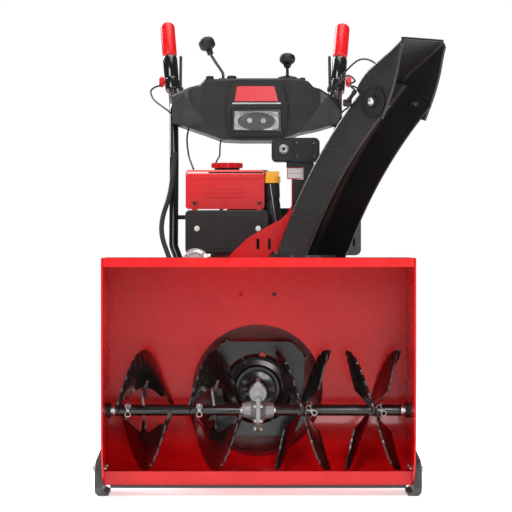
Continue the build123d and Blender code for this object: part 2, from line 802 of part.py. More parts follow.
def rim(side):
    """A pressed steel wheel with its hub tube."""
    half = TYRE_WIDTH / 2
    outline = [
        (RIM_RADIUS - 0.1, -half + 14.1), (RIM_RADIUS + 5, -half + 4), (RIM_RADIUS + 5, -half + 1),
        (RIM_RADIUS - 4, -half + 8), (RIM_RADIUS - 12, -half + 30), (RIM_RADIUS - 14, -2),
        (40, -2), (24, 8), (24, 4 - half), (AXLE_RADIUS + RUN_GAP, 4 - half),
        (AXLE_RADIUS + RUN_GAP, half - 10), (24, half - 10), (24, 12), (40, 3),
        (RIM_RADIUS - 14, 3), (RIM_RADIUS - 12, half - 30), (RIM_RADIUS - 4, half - 8),
        (RIM_RADIUS + 5, half - 1), (RIM_RADIUS + 5, half - 4), (RIM_RADIUS - 0.1, half - 14.1),
    ]
    wheel = revolve_about_axle(outline, side * WHEEL_X)
    return wheel




# ---------------------------------------------------------------- engine

def engine_block():
    """Crankcase with its inclined, finned cylinder."""
    case = block(-120, 110, -28, 128, FRAME_TOP_Z + 3.1, 650)
    case = fillet(case.edges().filter_by(Axis.Y), 30)
    feet = block(-135, 135, -20, 118, FRAME_TOP_Z + 3.1, FRAME_TOP_Z + 15)
    nose = rod((0, -44, CRANK_Z), (0, -28, CRANK_Z), 60)
    pieces = [case, feet, nose]
    lean = Pos(60, 50, 560) * Rot(0, 75, 0)
    pieces.append(lean * Pos(0, 0, 61.5) * Box(92, 92, 130))
    for i in range(7):
        fin = Box(132, 124, 4)
        pieces.append(lean * Pos(0, 0, 52 + i * 12) * fin)
    whole = join(pieces)
    room = rod((0, -60, CRANK_Z), (0, 200, CRANK_Z), 12.55)
    return join([whole - room, starter_disc(), oil_filler()])


def cylinder_head():
    lean = Pos(60, 50, 560) * Rot(0, 75, 0)
    head = lean * Pos(0, 0, 138) * Box(112, 104, 22.8)
    cover = lean * Pos(0, 0, 162) * Box(84, 90, 26)
    cover = fillet(cover.edges(), 7)
    return head + cover


def crankshaft():
    """Crankshaft end with its two belt pulleys."""
    bar = rod((0, PULLEY_Y - 12, CRANK_Z), (0, 150, CRANK_Z), 12.5)
    front = pulley(0, CRANK_Z, PULLEY_Y - 8, PULLEY_Y + 8, 38, 2)
    back = pulley(0, CRANK_Z, TRACTION_Y - 8, TRACTION_Y + 8, 30, 2)
    return bar + front + back


def auger_pulley():
    return pulley(0, DRUM_Z, PULLEY_Y - 8, PULLEY_Y + 8, 105, SHAFT_RADIUS - 2)


def belt(z_low, r_low, z_high, r_high, y, width):
    """A closed belt loop round two pulleys, as a band of constant thickness."""
    thick = 7.0

    def outline(extra):
        lower = Pos(0, z_low) * Circle(r_low + extra)
        upper = Pos(0, z_high) * Circle(r_high + extra)
        return make_hull(lower.edges() + upper.edges())

    ring = outline(thick) - outline(0)
    plane = Plane(origin=(0, y + width / 2, 0), x_dir=(1, 0, 0), z_dir=(0, -1, 0))
    return extrude(plane * ring, amount=width)


def auger_belt():
    return belt(DRUM_Z, 97.2, CRANK_Z, 30.2, PULLEY_Y, 9)


def blower_housing():
    """The sheet shroud round the flywheel at the rear."""
    drum = rod((0, 128.1, CRANK_Z + 10), (0, 188, CRANK_Z + 10), 128)
    room = rod((0, 120, CRANK_Z), (0, 151, CRANK_Z), 60)
    top = block(-80, 110, 128.1, 186, 600, 724)
    return (drum + top) - room - block(-300, 300, 100, 200, 300, FRAME_TOP_Z + 3.5)


def recoil_cover():
    disc = rod((0, 188.1, CRANK_Z + 10), (0, 216, CRANK_Z + 10), 98)
    for x, z in ring_points(12, 74):
        disc = disc - rod((x, 200, CRANK_Z + 10 + z), (x, 230, CRANK_Z + 10 + z), 9)
    return disc - block(62, 92, 196, 230, CRANK_Z + 44, CRANK_Z + 92)


def recoil_handle():
    bar = block(48, 106, 219, 233, CRANK_Z + 60, CRANK_Z + 76)
    bar = fillet(bar.edges().filter_by(Axis.Y), 6)
    return bar + rod((77, 205, CRANK_Z + 68), (77, 220, CRANK_Z + 68), 3)


def fuel_tank():
    body = block(-132, 38, 22, 150, 730, 826)
    body = fillet(body.edges(), 14)
    neck = rod((-80, 86, 820), (-80, 86, 832), 34)
    legs = block(-100, -90, 40, 127, 650.1, 731) + block(20, 30, 40, 127, 650.1, 731)
    return body + neck + legs


def fuel_cap():
    cap = rod((-80, 86, 832.1), (-80, 86, 846), 42)
    for x, y in ring_points(18, 43.5):
        cap = cap - rod((x - 80, y + 86, 828), (x - 80, y + 86, 850), 3)
    return cap


def engine_cover():
    """The red moulded cover over the engine's front, with a bevelled top."""
    front = ENGINE_FRONT_Y
    body = block(COVER_LEFT_X, COVER_RIGHT_X, front, 20, 719, 824)
    body = chamfer(body.edges().filter_by(Axis.X).group_by(Axis.Z)[-1], 12)
    body = fillet(body.edges().filter_by(Axis.Y), 9)
    hollow = block(COVER_LEFT_X + 3, COVER_RIGHT_X - 3, front + 3, 30, 700, 819)
    return body - hollow


def belt_cover():
    """The black cover in front of belts and pulleys."""
    body = block(-190, 33, -112, -32, 600, 716)
    body = fillet(body.edges().filter_by(Axis.Y), 12)
    body = fillet(body.faces().sort_by(Axis.Y)[0].edges(), 6)
    hollow = block(-184, 28, -106, -20, 590, 710)
    shell = body - hollow - block(-70, 70, -46, -20, 590, 640)
    shell = shell - rod((-163, -130, 576), (-163, 0, 576), 38)
    return join([shell, *cover_bolts()])


def cover_bolts():
    return [rod((x, -118, 667), (x, -110, 667), 8) for x in (-159, 3)]


def starter_disc():
    """The bright cast boss low on the engine's left front."""
    disc = rod((-163, -104, 576), (-163, -84, 576), 37)
    step = rod((-163, -110, 576), (-163, -104, 576), 26)
    arm = block(-150, -119.9, -84, -20, 560, 592)
    return join([disc, step, arm])


def oil_filler():
    return rod((47, -52, 600), (42, -52, 788), 9) + block(-8 + 47, 8 + 47, -52, -28.1, 600, 616)


def dipstick_cap():
    cap = rod((42, -52, 789), (42, -52, 806), 21)
    return cap + block(24, 60, -58, -46, 806, 820)


def electric_starter():
    return rod((-150, 40, 480), (-150, 130, 480), 27) + block(-140, -120.1, 50, 110, 462, 498)



def muffler_guard():
    """Slotted heat guard round the muffler, strapped to the crankcase."""
    low, high = 596, 742
    shell = block(134, 276, -104, -16, low, high)
    shell = fillet(shell.edges().filter_by(Axis.Y), 16)
    shell = shell - block(138, 272, -100, -20, low + 4, high - 4)
    for i in range(9):
        x = 150 + i * 13
        shell = shell - block(x, x + 6, -110, -90, low + 24, high - 24)
        shell = shell - block(x, x + 6, -88, -32, high - 10, high + 10)
    strap = block(110.1, 137, -27, -20, 600, 612)
    return shell + strap


# ---------------------------------------------------------------- handles and dash

def handle_path(side):
    """Points along one handle tube, from the frame up to the end of its grip."""
    x = side * HANDLE_X
    return [
        (side * 152, 120, 300), (side * 152, 138, 420), (x, 210, 620), (x, 290, 860),
        (side * 232, 420, 1012), (side * 240, 640, 1072), (side * 252, 742, 1262),
    ]


def handle(side):
    """A tube that rises from the frame, leans back and turns up into the grip."""
    return bent_bar(handle_path(side), HANDLE_RADIUS, 40)


def along_grip(side, share):
    """A point on the straight top of a handle tube."""
    low = Vector(side * 240, 640, 1072)
    high = Vector(side * 252, 742, 1262)
    return low + (high - low) * share


def grip_part(side, low, high):
    """A sleeve over the handle tube, closed at its far end."""
    sleeve = rod(along_grip(side, low), along_grip(side, high), GRIP_RADIUS)
    bore = rod(along_grip(side, 0), along_grip(side, 1.0), HANDLE_RADIUS + RUN_GAP)
    return sleeve - bore


def hand_grips():
    """The red ends that the hands hold."""
    return group([grip_part(side, 0.55, 1.06) for side in (-1, 1)])


def grip_sleeves():
    """The black sleeves below the red ends."""
    return group([grip_part(side, 0.14, 0.549) for side in (-1, 1)])


def handle_tubes():
    """Both tubes with the flat bar welded between them behind the dash."""
    brace = block(-HANDLE_X, HANDLE_X, 234, 240, 694, 706)
    return join([handle(-1), handle(1), brace])


def dash_panel():
    """The moulded control panel between the handles."""
    outline = [
        (-236, 1044), (-190, 1065), (-160, 1072), (-145, 1086), (222, 1084), (236, 1042),
        (236, 964), (214, 950), (120, 925), (45, 907), (-92, 908), (-105, 912), (-236, 966),
    ]
    body = front_slab(outline, DASH_Y - 60, DASH_Y + 60)
    inner = [(x * 0.97, 1000 + (z - 1000) * 0.95) for x, z in outline]
    hollow = front_slab(inner, DASH_Y - 55, DASH_Y + 70)
    body = body - hollow
    for side in (-1, 1):
        body = body - bent_bar(handle_path(side), HANDLE_RADIUS + 1, 40)
    return body


def dash_bezel():
    outline = [(-66, 1072), (62, 1072), (86, 1000), (74, 918), (-76, 918), (-84, 1000)]
    plate = front_slab(outline, DASH_Y - 70, DASH_Y - 60.1)
    return plate - block(-68, 68, DASH_Y - 80, DASH_Y - 50, 932, 996)



def headlight():
    return block(-67.9, 67.9, DASH_Y - 74, DASH_Y - 60.2, 932.1, 995.9)


def clutch_lever(side):
    """A lever beside a grip, pressed down to engage auger or drive."""
    x = side * 213
    blade = side_slab([
        (640, 1082), (650, 1100), (700, 1176), (710, 1172), (672, 1092), (664, 1074), (640, 1066),
    ], x - 4, x + 4)
    return blade + rod((side * 209, 648, 1076), (side * 226.5, 648, 1076), 6)



def trigger(side):
    x0, x1 = sorted((side * 264, side * 280))
    paddle = block(x0, x1, 646, 672, 1082, 1114)
    return paddle + rod((side * 262.4, 656, 1108), (side * 270, 656, 1108), 4)


def shift_lever():
    stem = bent_bar([(-92, DASH_Y, 1090), (-92, DASH_Y, 1106), (-140, DASH_Y, 1162)], 4, 10)
    knob = rod((-140, DASH_Y, 1160), (-152, DASH_Y, 1196), 20)
    return stem + knob


def joystick_pivot():
    """The small ball that lets the joystick lean two ways."""
    return Pos(88, DASH_Y, 1091.5) * Sphere(5)


def joystick():
    stem = rod((88, DASH_Y, 1097.2), (88, DASH_Y, 1140), 4)
    ball = Pos(88, DASH_Y, 1152) * Sphere(22)
    return stem + ball


def starter_button():
    return rod((-150, 133, 480), (-150, 140, 480), 9)


# ---------------------------------------------------------------- all parts

PARTS = {
    "auger_housing": auger_housing,
    "impeller_housing": impeller_housing,
    "scraper_bar": scraper_bar,
    "skid_shoe_left": lambda: skid_shoe(-1),
    "skid_shoe_right": lambda: skid_shoe(1),
    "shoe_bolts": shoe_bolts,
    "auger_bearings": auger_bearings,
    "auger_left": lambda: auger(-1),
    "auger_right": lambda: auger(1),
    "auger_shaft": auger_shaft,
    "shear_pins": shear_pins,
    "auger_gearbox": auger_gearbox,
    "impeller_shaft": impeller_shaft,
    "impeller": impeller,
    "impeller_bearing": impeller_bearing,
    "chute_ring": chute_ring,
    "chute_lower": chute_lower,
    "deflector": deflector,
    "pivot_bolts": pivot_bolts,
    "tilt_sector": tilt_sector,
    "chute_pinion": chute_pinion,
    "chute_bracket": chute_bracket,
    "control_head": control_head,
    "control_rod": control_rod,
    "drive_frame": drive_frame,
    "axle_left": lambda: half_axle(-1),
    "axle_right": lambda: half_axle(1),
    "transmission": transmission,
    "tyre_left": lambda: tyre(-1),
    "tyre_right": lambda: tyre(1),
    "rim_left": lambda: rim(-1),
    "rim_right": lambda: rim(1),
    "engine_block": engine_block,
    "cylinder_head": cylinder_head,
    "crankshaft": crankshaft,
    "auger_belt": auger_belt,
    "blower_housing": blower_housing,
    "recoil_cover": recoil_cover,
    "recoil_handle": recoil_handle,
    "fuel_tank": fuel_tank,
    "fuel_cap": fuel_cap,
    "engine_cover": engine_cover,
    "belt_cover": belt_cover,
    "dipstick_cap": dipstick_cap,
    "electric_starter": electric_starter,
    "starter_button": starter_button,
    "muffler_guard": muffler_guard,
    "handle_tubes": handle_tubes,
    "hand_grips": hand_grips,
    "grip_sleeves": grip_sleeves,
    "dash_panel": dash_panel,
    "dash_bezel": dash_bezel,
    "headlight": headlight,
    "auger_lever": lambda: clutch_lever(-1),
    "drive_lever": lambda: clutch_lever(1),
    "trigger_left": lambda: trigger(-1),
    "trigger_right": lambda: trigger(1),
    "shift_lever": shift_lever,
    "joystick": joystick,
    "joystick_pivot": joystick_pivot,
}

os.makedirs("parts", exist_ok=True)
for name, make in PARTS.items():
    export_step(make(), f"parts/{name}.step")
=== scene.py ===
import math
import json

import bpy
import bmesh
from mathutils import Matrix, Vector

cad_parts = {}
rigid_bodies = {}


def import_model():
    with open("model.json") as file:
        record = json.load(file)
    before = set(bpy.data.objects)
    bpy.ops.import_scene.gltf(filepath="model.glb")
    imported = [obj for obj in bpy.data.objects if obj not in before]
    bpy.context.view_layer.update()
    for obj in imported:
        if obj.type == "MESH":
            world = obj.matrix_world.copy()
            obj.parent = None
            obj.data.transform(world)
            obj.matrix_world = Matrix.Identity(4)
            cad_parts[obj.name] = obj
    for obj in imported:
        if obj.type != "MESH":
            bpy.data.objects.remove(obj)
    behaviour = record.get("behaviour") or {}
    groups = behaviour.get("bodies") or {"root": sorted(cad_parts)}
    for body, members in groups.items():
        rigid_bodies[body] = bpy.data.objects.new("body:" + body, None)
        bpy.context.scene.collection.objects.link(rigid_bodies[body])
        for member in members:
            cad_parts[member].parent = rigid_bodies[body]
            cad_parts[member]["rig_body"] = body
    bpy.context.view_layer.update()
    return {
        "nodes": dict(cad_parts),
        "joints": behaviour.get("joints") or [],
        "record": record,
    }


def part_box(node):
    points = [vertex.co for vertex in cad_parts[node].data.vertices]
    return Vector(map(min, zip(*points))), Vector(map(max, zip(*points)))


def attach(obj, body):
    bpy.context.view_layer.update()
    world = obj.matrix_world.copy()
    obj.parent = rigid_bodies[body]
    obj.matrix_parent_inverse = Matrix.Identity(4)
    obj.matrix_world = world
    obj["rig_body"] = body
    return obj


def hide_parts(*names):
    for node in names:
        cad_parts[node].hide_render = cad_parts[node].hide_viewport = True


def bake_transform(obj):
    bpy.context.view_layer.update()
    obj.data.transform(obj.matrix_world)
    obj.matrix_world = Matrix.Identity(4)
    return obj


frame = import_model()
nodes = frame["nodes"]

# ------------------------------------------------------------------ materials


def new_material(name):
    """A material set to use nodes; returns material, tree and its Principled shader."""
    made = bpy.data.materials.new(name)
    made.use_nodes = True
    tree = made.node_tree
    shader = tree.nodes["Principled BSDF"]
    return made, tree, shader


def add_noise(tree, scale, detail=4.0, rough=0.6):
    """A noise texture in the object's own coordinates."""
    coords = tree.nodes.new("ShaderNodeTexCoord")
    noise = tree.nodes.new("ShaderNodeTexNoise")
    noise.inputs["Scale"].default_value = scale
    noise.inputs["Detail"].default_value = detail
    noise.inputs["Roughness"].default_value = rough
    tree.links.new(coords.outputs["Object"], noise.inputs["Vector"])
    return noise


def add_ramp(tree, source, low, high, low_at=0.35, high_at=0.65):
    """A colour ramp from low to high colour over part of the noise range."""
    ramp = tree.nodes.new("ShaderNodeValToRGB")
    ramp.color_ramp.elements[0].position = low_at
    ramp.color_ramp.elements[1].position = high_at
    ramp.color_ramp.elements[0].color = (*low, 1)
    ramp.color_ramp.elements[1].color = (*high, 1)
    tree.links.new(source, ramp.inputs["Fac"])
    return ramp


def grey(value):
    """A neutral colour."""
    return (value, value, value)


def finish_material(name, low, high, rough, grain, bump, metallic=0.0, coat=0.0, patch=7.0,
                    specular=0.5):
    """A surface with a slow colour drift, a fine grain in its relief and a worn-in roughness."""
    made, tree, shader = new_material(name)
    drift = add_noise(tree, patch, 5.0, 0.65)
    colour = add_ramp(tree, drift.outputs["Fac"], low, high)
    tree.links.new(colour.outputs["Color"], shader.inputs["Base Color"])
    wear = add_noise(tree, patch * 6, 6.0, 0.7)
    shine = add_ramp(tree, wear.outputs["Fac"], grey(rough[0]), grey(rough[1]))
    tree.links.new(shine.outputs["Color"], shader.inputs["Roughness"])
    fine = add_noise(tree, grain, 3.0, 0.6)
    relief = tree.nodes.new("ShaderNodeBump")
    relief.inputs["Strength"].default_value = bump
    relief.inputs["Distance"].default_value = 0.001
    tree.links.new(fine.outputs["Fac"], relief.inputs["Height"])
    tree.links.new(relief.outputs["Normal"], shader.inputs["Normal"])
    shader.inputs["Metallic"].default_value = metallic
    shader.inputs["Coat Weight"].default_value = coat
    shader.inputs["Coat Roughness"].default_value = 0.08
    shader.inputs["Specular IOR Level"].default_value = specular
    return made


RED = finish_material("red_powder_coat", (0.54, 0.0025, 0.004), (0.60, 0.0035, 0.006),
                      (0.20, 0.30), 900, 0.05, coat=0.25, specular=0.3)
RED_PLASTIC = finish_material("red_plastic", (0.56, 0.0025, 0.004), (0.62, 0.004, 0.007),
                              (0.24, 0.34), 1200, 0.05, coat=0.2, specular=0.35)
BLACK_PAINT = finish_material("black_gloss_paint", grey(0.004), grey(0.007),
                              (0.16, 0.28), 800, 0.06, coat=0.3)
BLACK_PLASTIC = finish_material("black_grained_plastic", grey(0.006), grey(0.010),
                                (0.42, 0.55), 1600, 0.22, specular=0.35)
CHUTE_PLASTIC = finish_material("chute_plastic", grey(0.011), grey(0.017),
                                (0.30, 0.42), 1500, 0.16, specular=0.5)
GLOSS_BLACK = finish_material("gloss_black_plastic", grey(0.005), grey(0.009),
                              (0.12, 0.20), 1000, 0.03, coat=0.5)
SHOE_BLACK = finish_material("shoe_black", grey(0.018), grey(0.05), (0.35, 0.6), 700, 0.15,
                             patch=25)
ZINC = finish_material("zinc_plate", (0.52, 0.52, 0.54), (0.66, 0.65, 0.63), (0.22, 0.42),
                       900, 0.08, metallic=1.0, patch=30)
CAST_GREY = finish_material("cast_aluminium", grey(0.27), grey(0.36), (0.45, 0.62), 650, 0.5,
                            metallic=0.75, patch=40)
STEEL = finish_material("machined_steel", grey(0.25), grey(0.38), (0.25, 0.4), 900, 0.08,
                        metallic=1.0, patch=25)
RUBBER = finish_material("tyre_rubber", grey(0.012), grey(0.022), (0.62, 0.82), 420, 0.5,
                         patch=20)
CABLE = finish_material("cable_sheath", grey(0.007), grey(0.013), (0.5, 0.65), 900, 0.1,
                        specular=0.3)
BELT = finish_material("belt_rubber", grey(0.01), grey(0.02), (0.6, 0.8), 700, 0.3)
RIM_PAINT = finish_material("rim_paint", (0.60, 0.60, 0.58), (0.70, 0.70, 0.68), (0.28, 0.4),
                            900, 0.06, coat=0.3)
YELLOW = finish_material("yellow_plastic", (0.78, 0.36, 0.01), (0.86, 0.44, 0.015),
                         (0.3, 0.42), 1100, 0.08)
LIGHT_GREY = finish_material("light_grey_plastic", grey(0.42), grey(0.5), (0.4, 0.55), 900, 0.1)
BADGE_RED = finish_material("badge_red", (0.55, 0.01, 0.015), (0.62, 0.012, 0.02),
                            (0.25, 0.35), 1000, 0.04, coat=0.4)


def lens_material():
    made, tree, shader = new_material("headlight_lens")
    ribs = add_noise(tree, 60, 2.0)
    colour = add_ramp(tree, ribs.outputs["Fac"], (0.9, 0.92, 0.95), (1, 1, 1))
    tree.links.new(colour.outputs["Color"], shader.inputs["Base Color"])
    shader.inputs["Roughness"].default_value = 0.04
    shader.inputs["Transmission Weight"].default_value = 0.95
    shader.inputs["IOR"].default_value = 1.2
    return made


LENS = lens_material()
MIRROR = finish_material("reflector", grey(0.62), grey(0.78), (0.22, 0.34), 500, 0.03,
                         metallic=0.4, patch=60)

SLOT_MATERIAL = {
    "red_paint": RED, "red_plastic": RED_PLASTIC, "black_paint": BLACK_PAINT,
    "black_plastic": BLACK_PLASTIC, "gloss_black": GLOSS_BLACK, "shoe_black": SHOE_BLACK,
    "zinc": ZINC, "cast_grey": CAST_GREY, "crank_steel": STEEL, "guard": SHOE_BLACK,
    "belt_rubber": BELT, "tyre": RUBBER, "rim": RIM_PAINT, "yellow": YELLOW, "lens": LENS,
}
slot_of = {s["node"]: s["material_slot"] for s in frame["record"]["subparts"]}


def set_material(obj, material):
    obj.data.materials.clear()
    obj.data.materials.append(material)


def smooth(obj, angle=35):
    """Shade smooth with sharp edges kept where faces meet at more than the angle."""
    for face in obj.data.polygons:
        face.use_smooth = True
    limit = math.radians(angle)
    mesh = bmesh.new()
    mesh.from_mesh(obj.data)
    for edge in mesh.edges:
        if len(edge.link_faces) == 2:
            edge.smooth = edge.calc_face_angle(0) < limit
    mesh.to_mesh(obj.data)
    mesh.free()


def soften(obj, width, segments=2, angle=40):
    """A small rounded edge, as a modifier so that the mesh is unchanged."""
    bevel = obj.modifiers.new("edge", "BEVEL")
    bevel.width = width
    bevel.segments = segments
    bevel.limit_method = "ANGLE"
    bevel.angle_limit = math.radians(angle)


USUAL_EDGE = 0.0008
EDGE_WIDTH = {"auger_housing": 0.0015, "drive_frame": 0.001, "engine_cover": 0.003,
              "belt_cover": 0.002, "control_head": 0.004, "chute_bracket": 0.001,
              "engine_block": 0.0015, "fuel_tank": 0.003}
for node_name, node in nodes.items():
    set_material(node, SLOT_MATERIAL[slot_of[node_name]])
    soften(node, EDGE_WIDTH.get(node_name, USUAL_EDGE))
for name in ("chute_lower", "deflector", "chute_ring"):
    set_material(nodes[name], CHUTE_PLASTIC)

# ------------------------------------------------------------------ building helpers


def add_object(name, data):
    """An object in the scene's own collection."""
    obj = bpy.data.objects.new(name, data)
    bpy.context.scene.collection.objects.link(obj)
    return obj


def ride_mesh(name, mesh, material, body):
    """An object made of a mesh and riding a body."""
    obj = add_object(name, mesh)
    set_material(obj, material)
    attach(obj, body)
    return obj


def add_mesh(name, verts, faces, material, body):
    """An object riding a body, from lists of vertices and faces."""
    mesh = bpy.data.meshes.new(name)
    mesh.from_pydata([tuple(v) for v in verts], [], faces)
    mesh.update()
    return ride_mesh(name, mesh, material, body)


def from_bmesh(name, built, material, body):
    """An object riding a body, from a bmesh."""
    bmesh.ops.recalc_face_normals(built, faces=built.faces)
    mesh = bpy.data.meshes.new(name)
    built.to_mesh(mesh)
    built.free()
    return ride_mesh(name, mesh, material, body)


def skin(built, rings):
    """Faces between neighbouring closed rings of bmesh vertices."""
    count = len(rings[0])
    for a, b in zip(rings[:-1], rings[1:]):
        for k in range(count):
            n = (k + 1) % count
            built.faces.new((a[k], a[n], b[n], b[k]))


def circle(centre, u, w, radius, sides):
    """Points round a circle in the plane of u and w."""
    points = []
    for k in range(sides):
        a = 2 * math.pi * k / sides
        points.append(centre + (u * math.cos(a) + w * math.sin(a)) * radius)
    return points


def walls(rings, sides, first=0):
    """Faces between stacked rings of vertices, counted from the first."""
    faces = []
    for i in range(rings - 1):
        a = first + i * sides
        for k in range(sides):
            n = (k + 1) % sides
            faces.append((a + k, a + n, a + sides + n, a + sides + k))
    return faces


def capped_walls(rings, sides):
    """Faces of stacked rings, closed at both ends."""
    ends = [tuple(range(sides))[::-1], tuple((rings - 1) * sides + k for k in range(sides))]
    return walls(rings, sides) + ends


def front_place(y):
    """Puts (x, z) outlines on an upright plane, growing backwards from y."""
    return lambda u, v, w: Vector((u, y + w, v))


def side_place(x):
    """Puts (y, z) outlines on an upright plane, growing to the right from x."""
    return lambda u, v, w: Vector((x + w, u, v))


def cross_frame(direction):
    """Two unit vectors square to a direction."""
    d = Vector(direction).normalized()
    helper = Vector((0, 0, 1)) if abs(d.z) < 0.9 else Vector((1, 0, 0))
    u = d.cross(helper).normalized()
    return u, d.cross(u).normalized()


def smooth_path(points, steps=8):
    """A Catmull-Rom line through the points."""
    pts = [Vector(p) for p in points]
    pts = [pts[0] * 2 - pts[1]] + pts + [pts[-1] * 2 - pts[-2]]
    out = []
    for i in range(1, len(pts) - 2):
        a, b, c, d = pts[i - 1], pts[i], pts[i + 1], pts[i + 2]
        for k in range(steps):
            t = k / steps
            out.append(0.5 * (2 * b + (c - a) * t + (2 * a - 5 * b + 4 * c - d) * t ** 2
                              + (3 * b - a - 3 * c + d) * t ** 3))
    out.append(pts[-2])
    return out


def add_tube(name, points, radius, material, body, sides=14, steps=8):
    """A round cable or hose along a smooth line."""
    line = smooth_path(points, steps)
    verts = []
    u = None
    for i, p in enumerate(line):
        before = line[max(0, i - 1)]
        after = line[min(len(line) - 1, i + 1)]
        d = (after - before).normalized()
        if u is None:
            u = cross_frame(d)[0]
        u = (u - d * u.dot(d)).normalized()
        verts += circle(p, u, d.cross(u), radius, sides)
    obj = add_mesh(name, verts, capped_walls(len(line), sides), material, body)
    smooth(obj, 50)
    return obj


def add_turned(name, start, end, profile, material, body, sides=40, angle=30):
    """A turned shape: profile is (share along start-end, radius) pairs."""
    a = Vector(start)
    d = Vector(end) - a
    u, w = cross_frame(d)
    verts = []
    for share, radius in profile:
        verts += circle(a + d * share, u, w, max(radius, 1e-5), sides)
    obj = add_mesh(name, verts, capped_walls(len(profile), sides), material, body)
    smooth(obj, angle)
    return obj


def pin_profile(radius, core):
    """Profile of a plain pin, for add_turned; core is the radius of its flat end caps."""
    return [(0, core), (0, radius), (1, radius), (1, core)]


def rounded_profile(radius, fillet, length, steps=6):
    """Profile of a rod with both ends rounded, for add_turned."""
    out = []
    for i in range(steps + 1):
        a = math.pi / 2 * i / steps
        out.append(((fillet - fillet * math.sin(a)) / length, radius - fillet + fillet * math.cos(a)))
    low = out[::-1]
    high = [(1 - s, r) for s, r in low][::-1]
    return low + high


def add_plate(name, outline, place, thickness, material, body, bevel=0.001, segments=2):
    """A flat plate: a 2-D outline put in space by place(u, v, w), with w its thickness."""
    built = bmesh.new()
    low = [built.verts.new(place(u, v, 0)) for u, v in outline]
    high = [built.verts.new(place(u, v, thickness)) for u, v in outline]
    count = len(outline)
    built.faces.new(low[::-1])
    built.faces.new(high)
    for i in range(count):
        n = (i + 1) % count
        built.faces.new((low[i], low[n], high[n], high[i]))
    if bevel:
        bmesh.ops.recalc_face_normals(built, faces=built.faces)
        bmesh.ops.bevel(built, geom=built.edges[:], offset=bevel, segments=segments,
                        affect="EDGES", clamp_overlap=True)
    obj = from_bmesh(name, built, material, body)
    smooth(obj, 40)
    return obj


def add_box(name, low, high, material, body, bevel=0.002, segments=3):
    """A box from corner to corner with rounded edges."""
    outline = [(low[0], low[2]), (high[0], low[2]), (high[0], high[2]), (low[0], high[2])]
    return add_plate(name, outline, lambda u, v, w: Vector((u, low[1] + w, v)),
                     high[1] - low[1], material, body, bevel, segments)


def add_bolt(name, centre, axis, radius, height, material, body, sides=6):
    """A hexagon bolt head with a washer; centre is where the washer rests."""
    c = Vector(centre)
    d = Vector(axis).normalized()
    u, w = cross_frame(d)
    washer_sides = 24
    washer_share = 0.18
    verts = []
    for share in (0.0, washer_share):
        verts += circle(c + d * height * share, u, w, radius * 1.25, washer_sides)
    faces = capped_walls(2, washer_sides)
    base = len(verts)
    for share, r in ((washer_share, radius), (0.85, radius), (1.0, radius * 0.86)):
        verts += circle(c + d * height * share, u, w, r, sides)
    faces += walls(3, sides, base)
    faces.append(tuple(base + 2 * sides + k for k in range(sides)))
    obj = add_mesh(name, verts, faces, material, body)
    smooth(obj, 30)
    return obj


# ------------------------------------------------------------------ augers

AUGER_LOW, AUGER_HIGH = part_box("auger_shaft")
AUGER_AXIS = Vector((0, (AUGER_LOW.y + AUGER_HIGH.y) / 2, (AUGER_LOW.z + AUGER_HIGH.z) / 2))
AUGER_OUT = (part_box("auger_left")[1].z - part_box("auger_left")[0].z) / 2
FLIGHT_IN = 0.062
FLIGHT_HALF_LENGTH = 0.066
FLIGHT_CENTRES = (0.110, 0.286)
TEETH = 13
TUBE_ENDS = (0.044, 0.358)


def auger_point(x, radius, angle):
    """A point round the auger's axis; angle 0 faces the front and 90 is up."""
    a = math.radians(angle)
    return AUGER_AXIS + Vector((x, -radius * math.cos(a), radius * math.sin(a)))


def flight_radii(t):
    """Inner and outer radius of a flight at share t of its length, with teeth and cut tips."""
    ends = min(t, 1 - t)
    tip = min(1.0, ends * 5.5 + 0.06)
    tooth = (t * TEETH) % 1.0
    notch = 0.0075 * max(0.0, 1 - abs(tooth - 0.5) * 4.5)
    outer = AUGER_OUT - notch - 0.002
    inner = outer - (outer - FLIGHT_IN) * tip
    belly = 0.006 * math.sin(t * math.pi)
    return inner - belly * tip, outer


def add_flight(built, x_start, x_end, angle_start, angle_end):
    """One serrated ribbon with real thickness, added to a bmesh."""
    along = 104
    across = 6
    thick = 0.0042
    layers = []
    for face_side in (-1, 1):
        rows = []
        for i in range(along + 1):
            t = i / along
            angle = angle_start + (angle_end - angle_start) * t
            x = x_start + (x_end - x_start) * t
            inner, outer = flight_radii(t)
            row = []
            for k in range(across + 1):
                radius = inner + (outer - inner) * k / across
                cup = 0.006 * math.sin(math.pi * k / across)
                row.append(built.verts.new(
                    auger_point(x + cup + face_side * thick / 2, radius, angle)))
            rows.append(row)
        layers.append(rows)
    low, high = layers
    for i in range(along):
        for k in range(across):
            built.faces.new((low[i][k], low[i + 1][k], low[i + 1][k + 1], low[i][k + 1]))
            built.faces.new((high[i][k], high[i][k + 1], high[i + 1][k + 1], high[i + 1][k]))
        for k in (0, across):
            built.faces.new((low[i][k], high[i][k], high[i + 1][k], low[i + 1][k]))
    for i in (0, along):
        for k in range(across):
            built.faces.new((low[i][k], low[i][k + 1], high[i][k + 1], high[i][k]))


def add_auger(side):
    """One side's tube and ribbon flights."""
    built = bmesh.new()
    if side < 0:
        turn, phase = 1, 0
    else:
        turn, phase = -1, 90
    for group_x in FLIGHT_CENTRES:
        x0 = side * group_x - FLIGHT_HALF_LENGTH
        x1 = side * group_x + FLIGHT_HALF_LENGTH
        for half in (0, 180):
            start = phase + half
            add_flight(built, x0, x1, start, start + turn * 180)
    flights = from_bmesh(f"auger_flights_{side}", built, BLACK_PAINT, "auger")
    smooth(flights, 40)
    start, end = [auger_point(side * x, 0, 0) for x in TUBE_ENDS]
    add_turned(
        f"auger_tube_{side}", start, end,
        [(0, 0.0105), (0, 0.0138), (0.02, 0.0145), (0.98, 0.0145), (1, 0.0138), (1, 0.0105)],
        BLACK_PAINT, "auger")
    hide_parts("auger_left" if side < 0 else "auger_right")


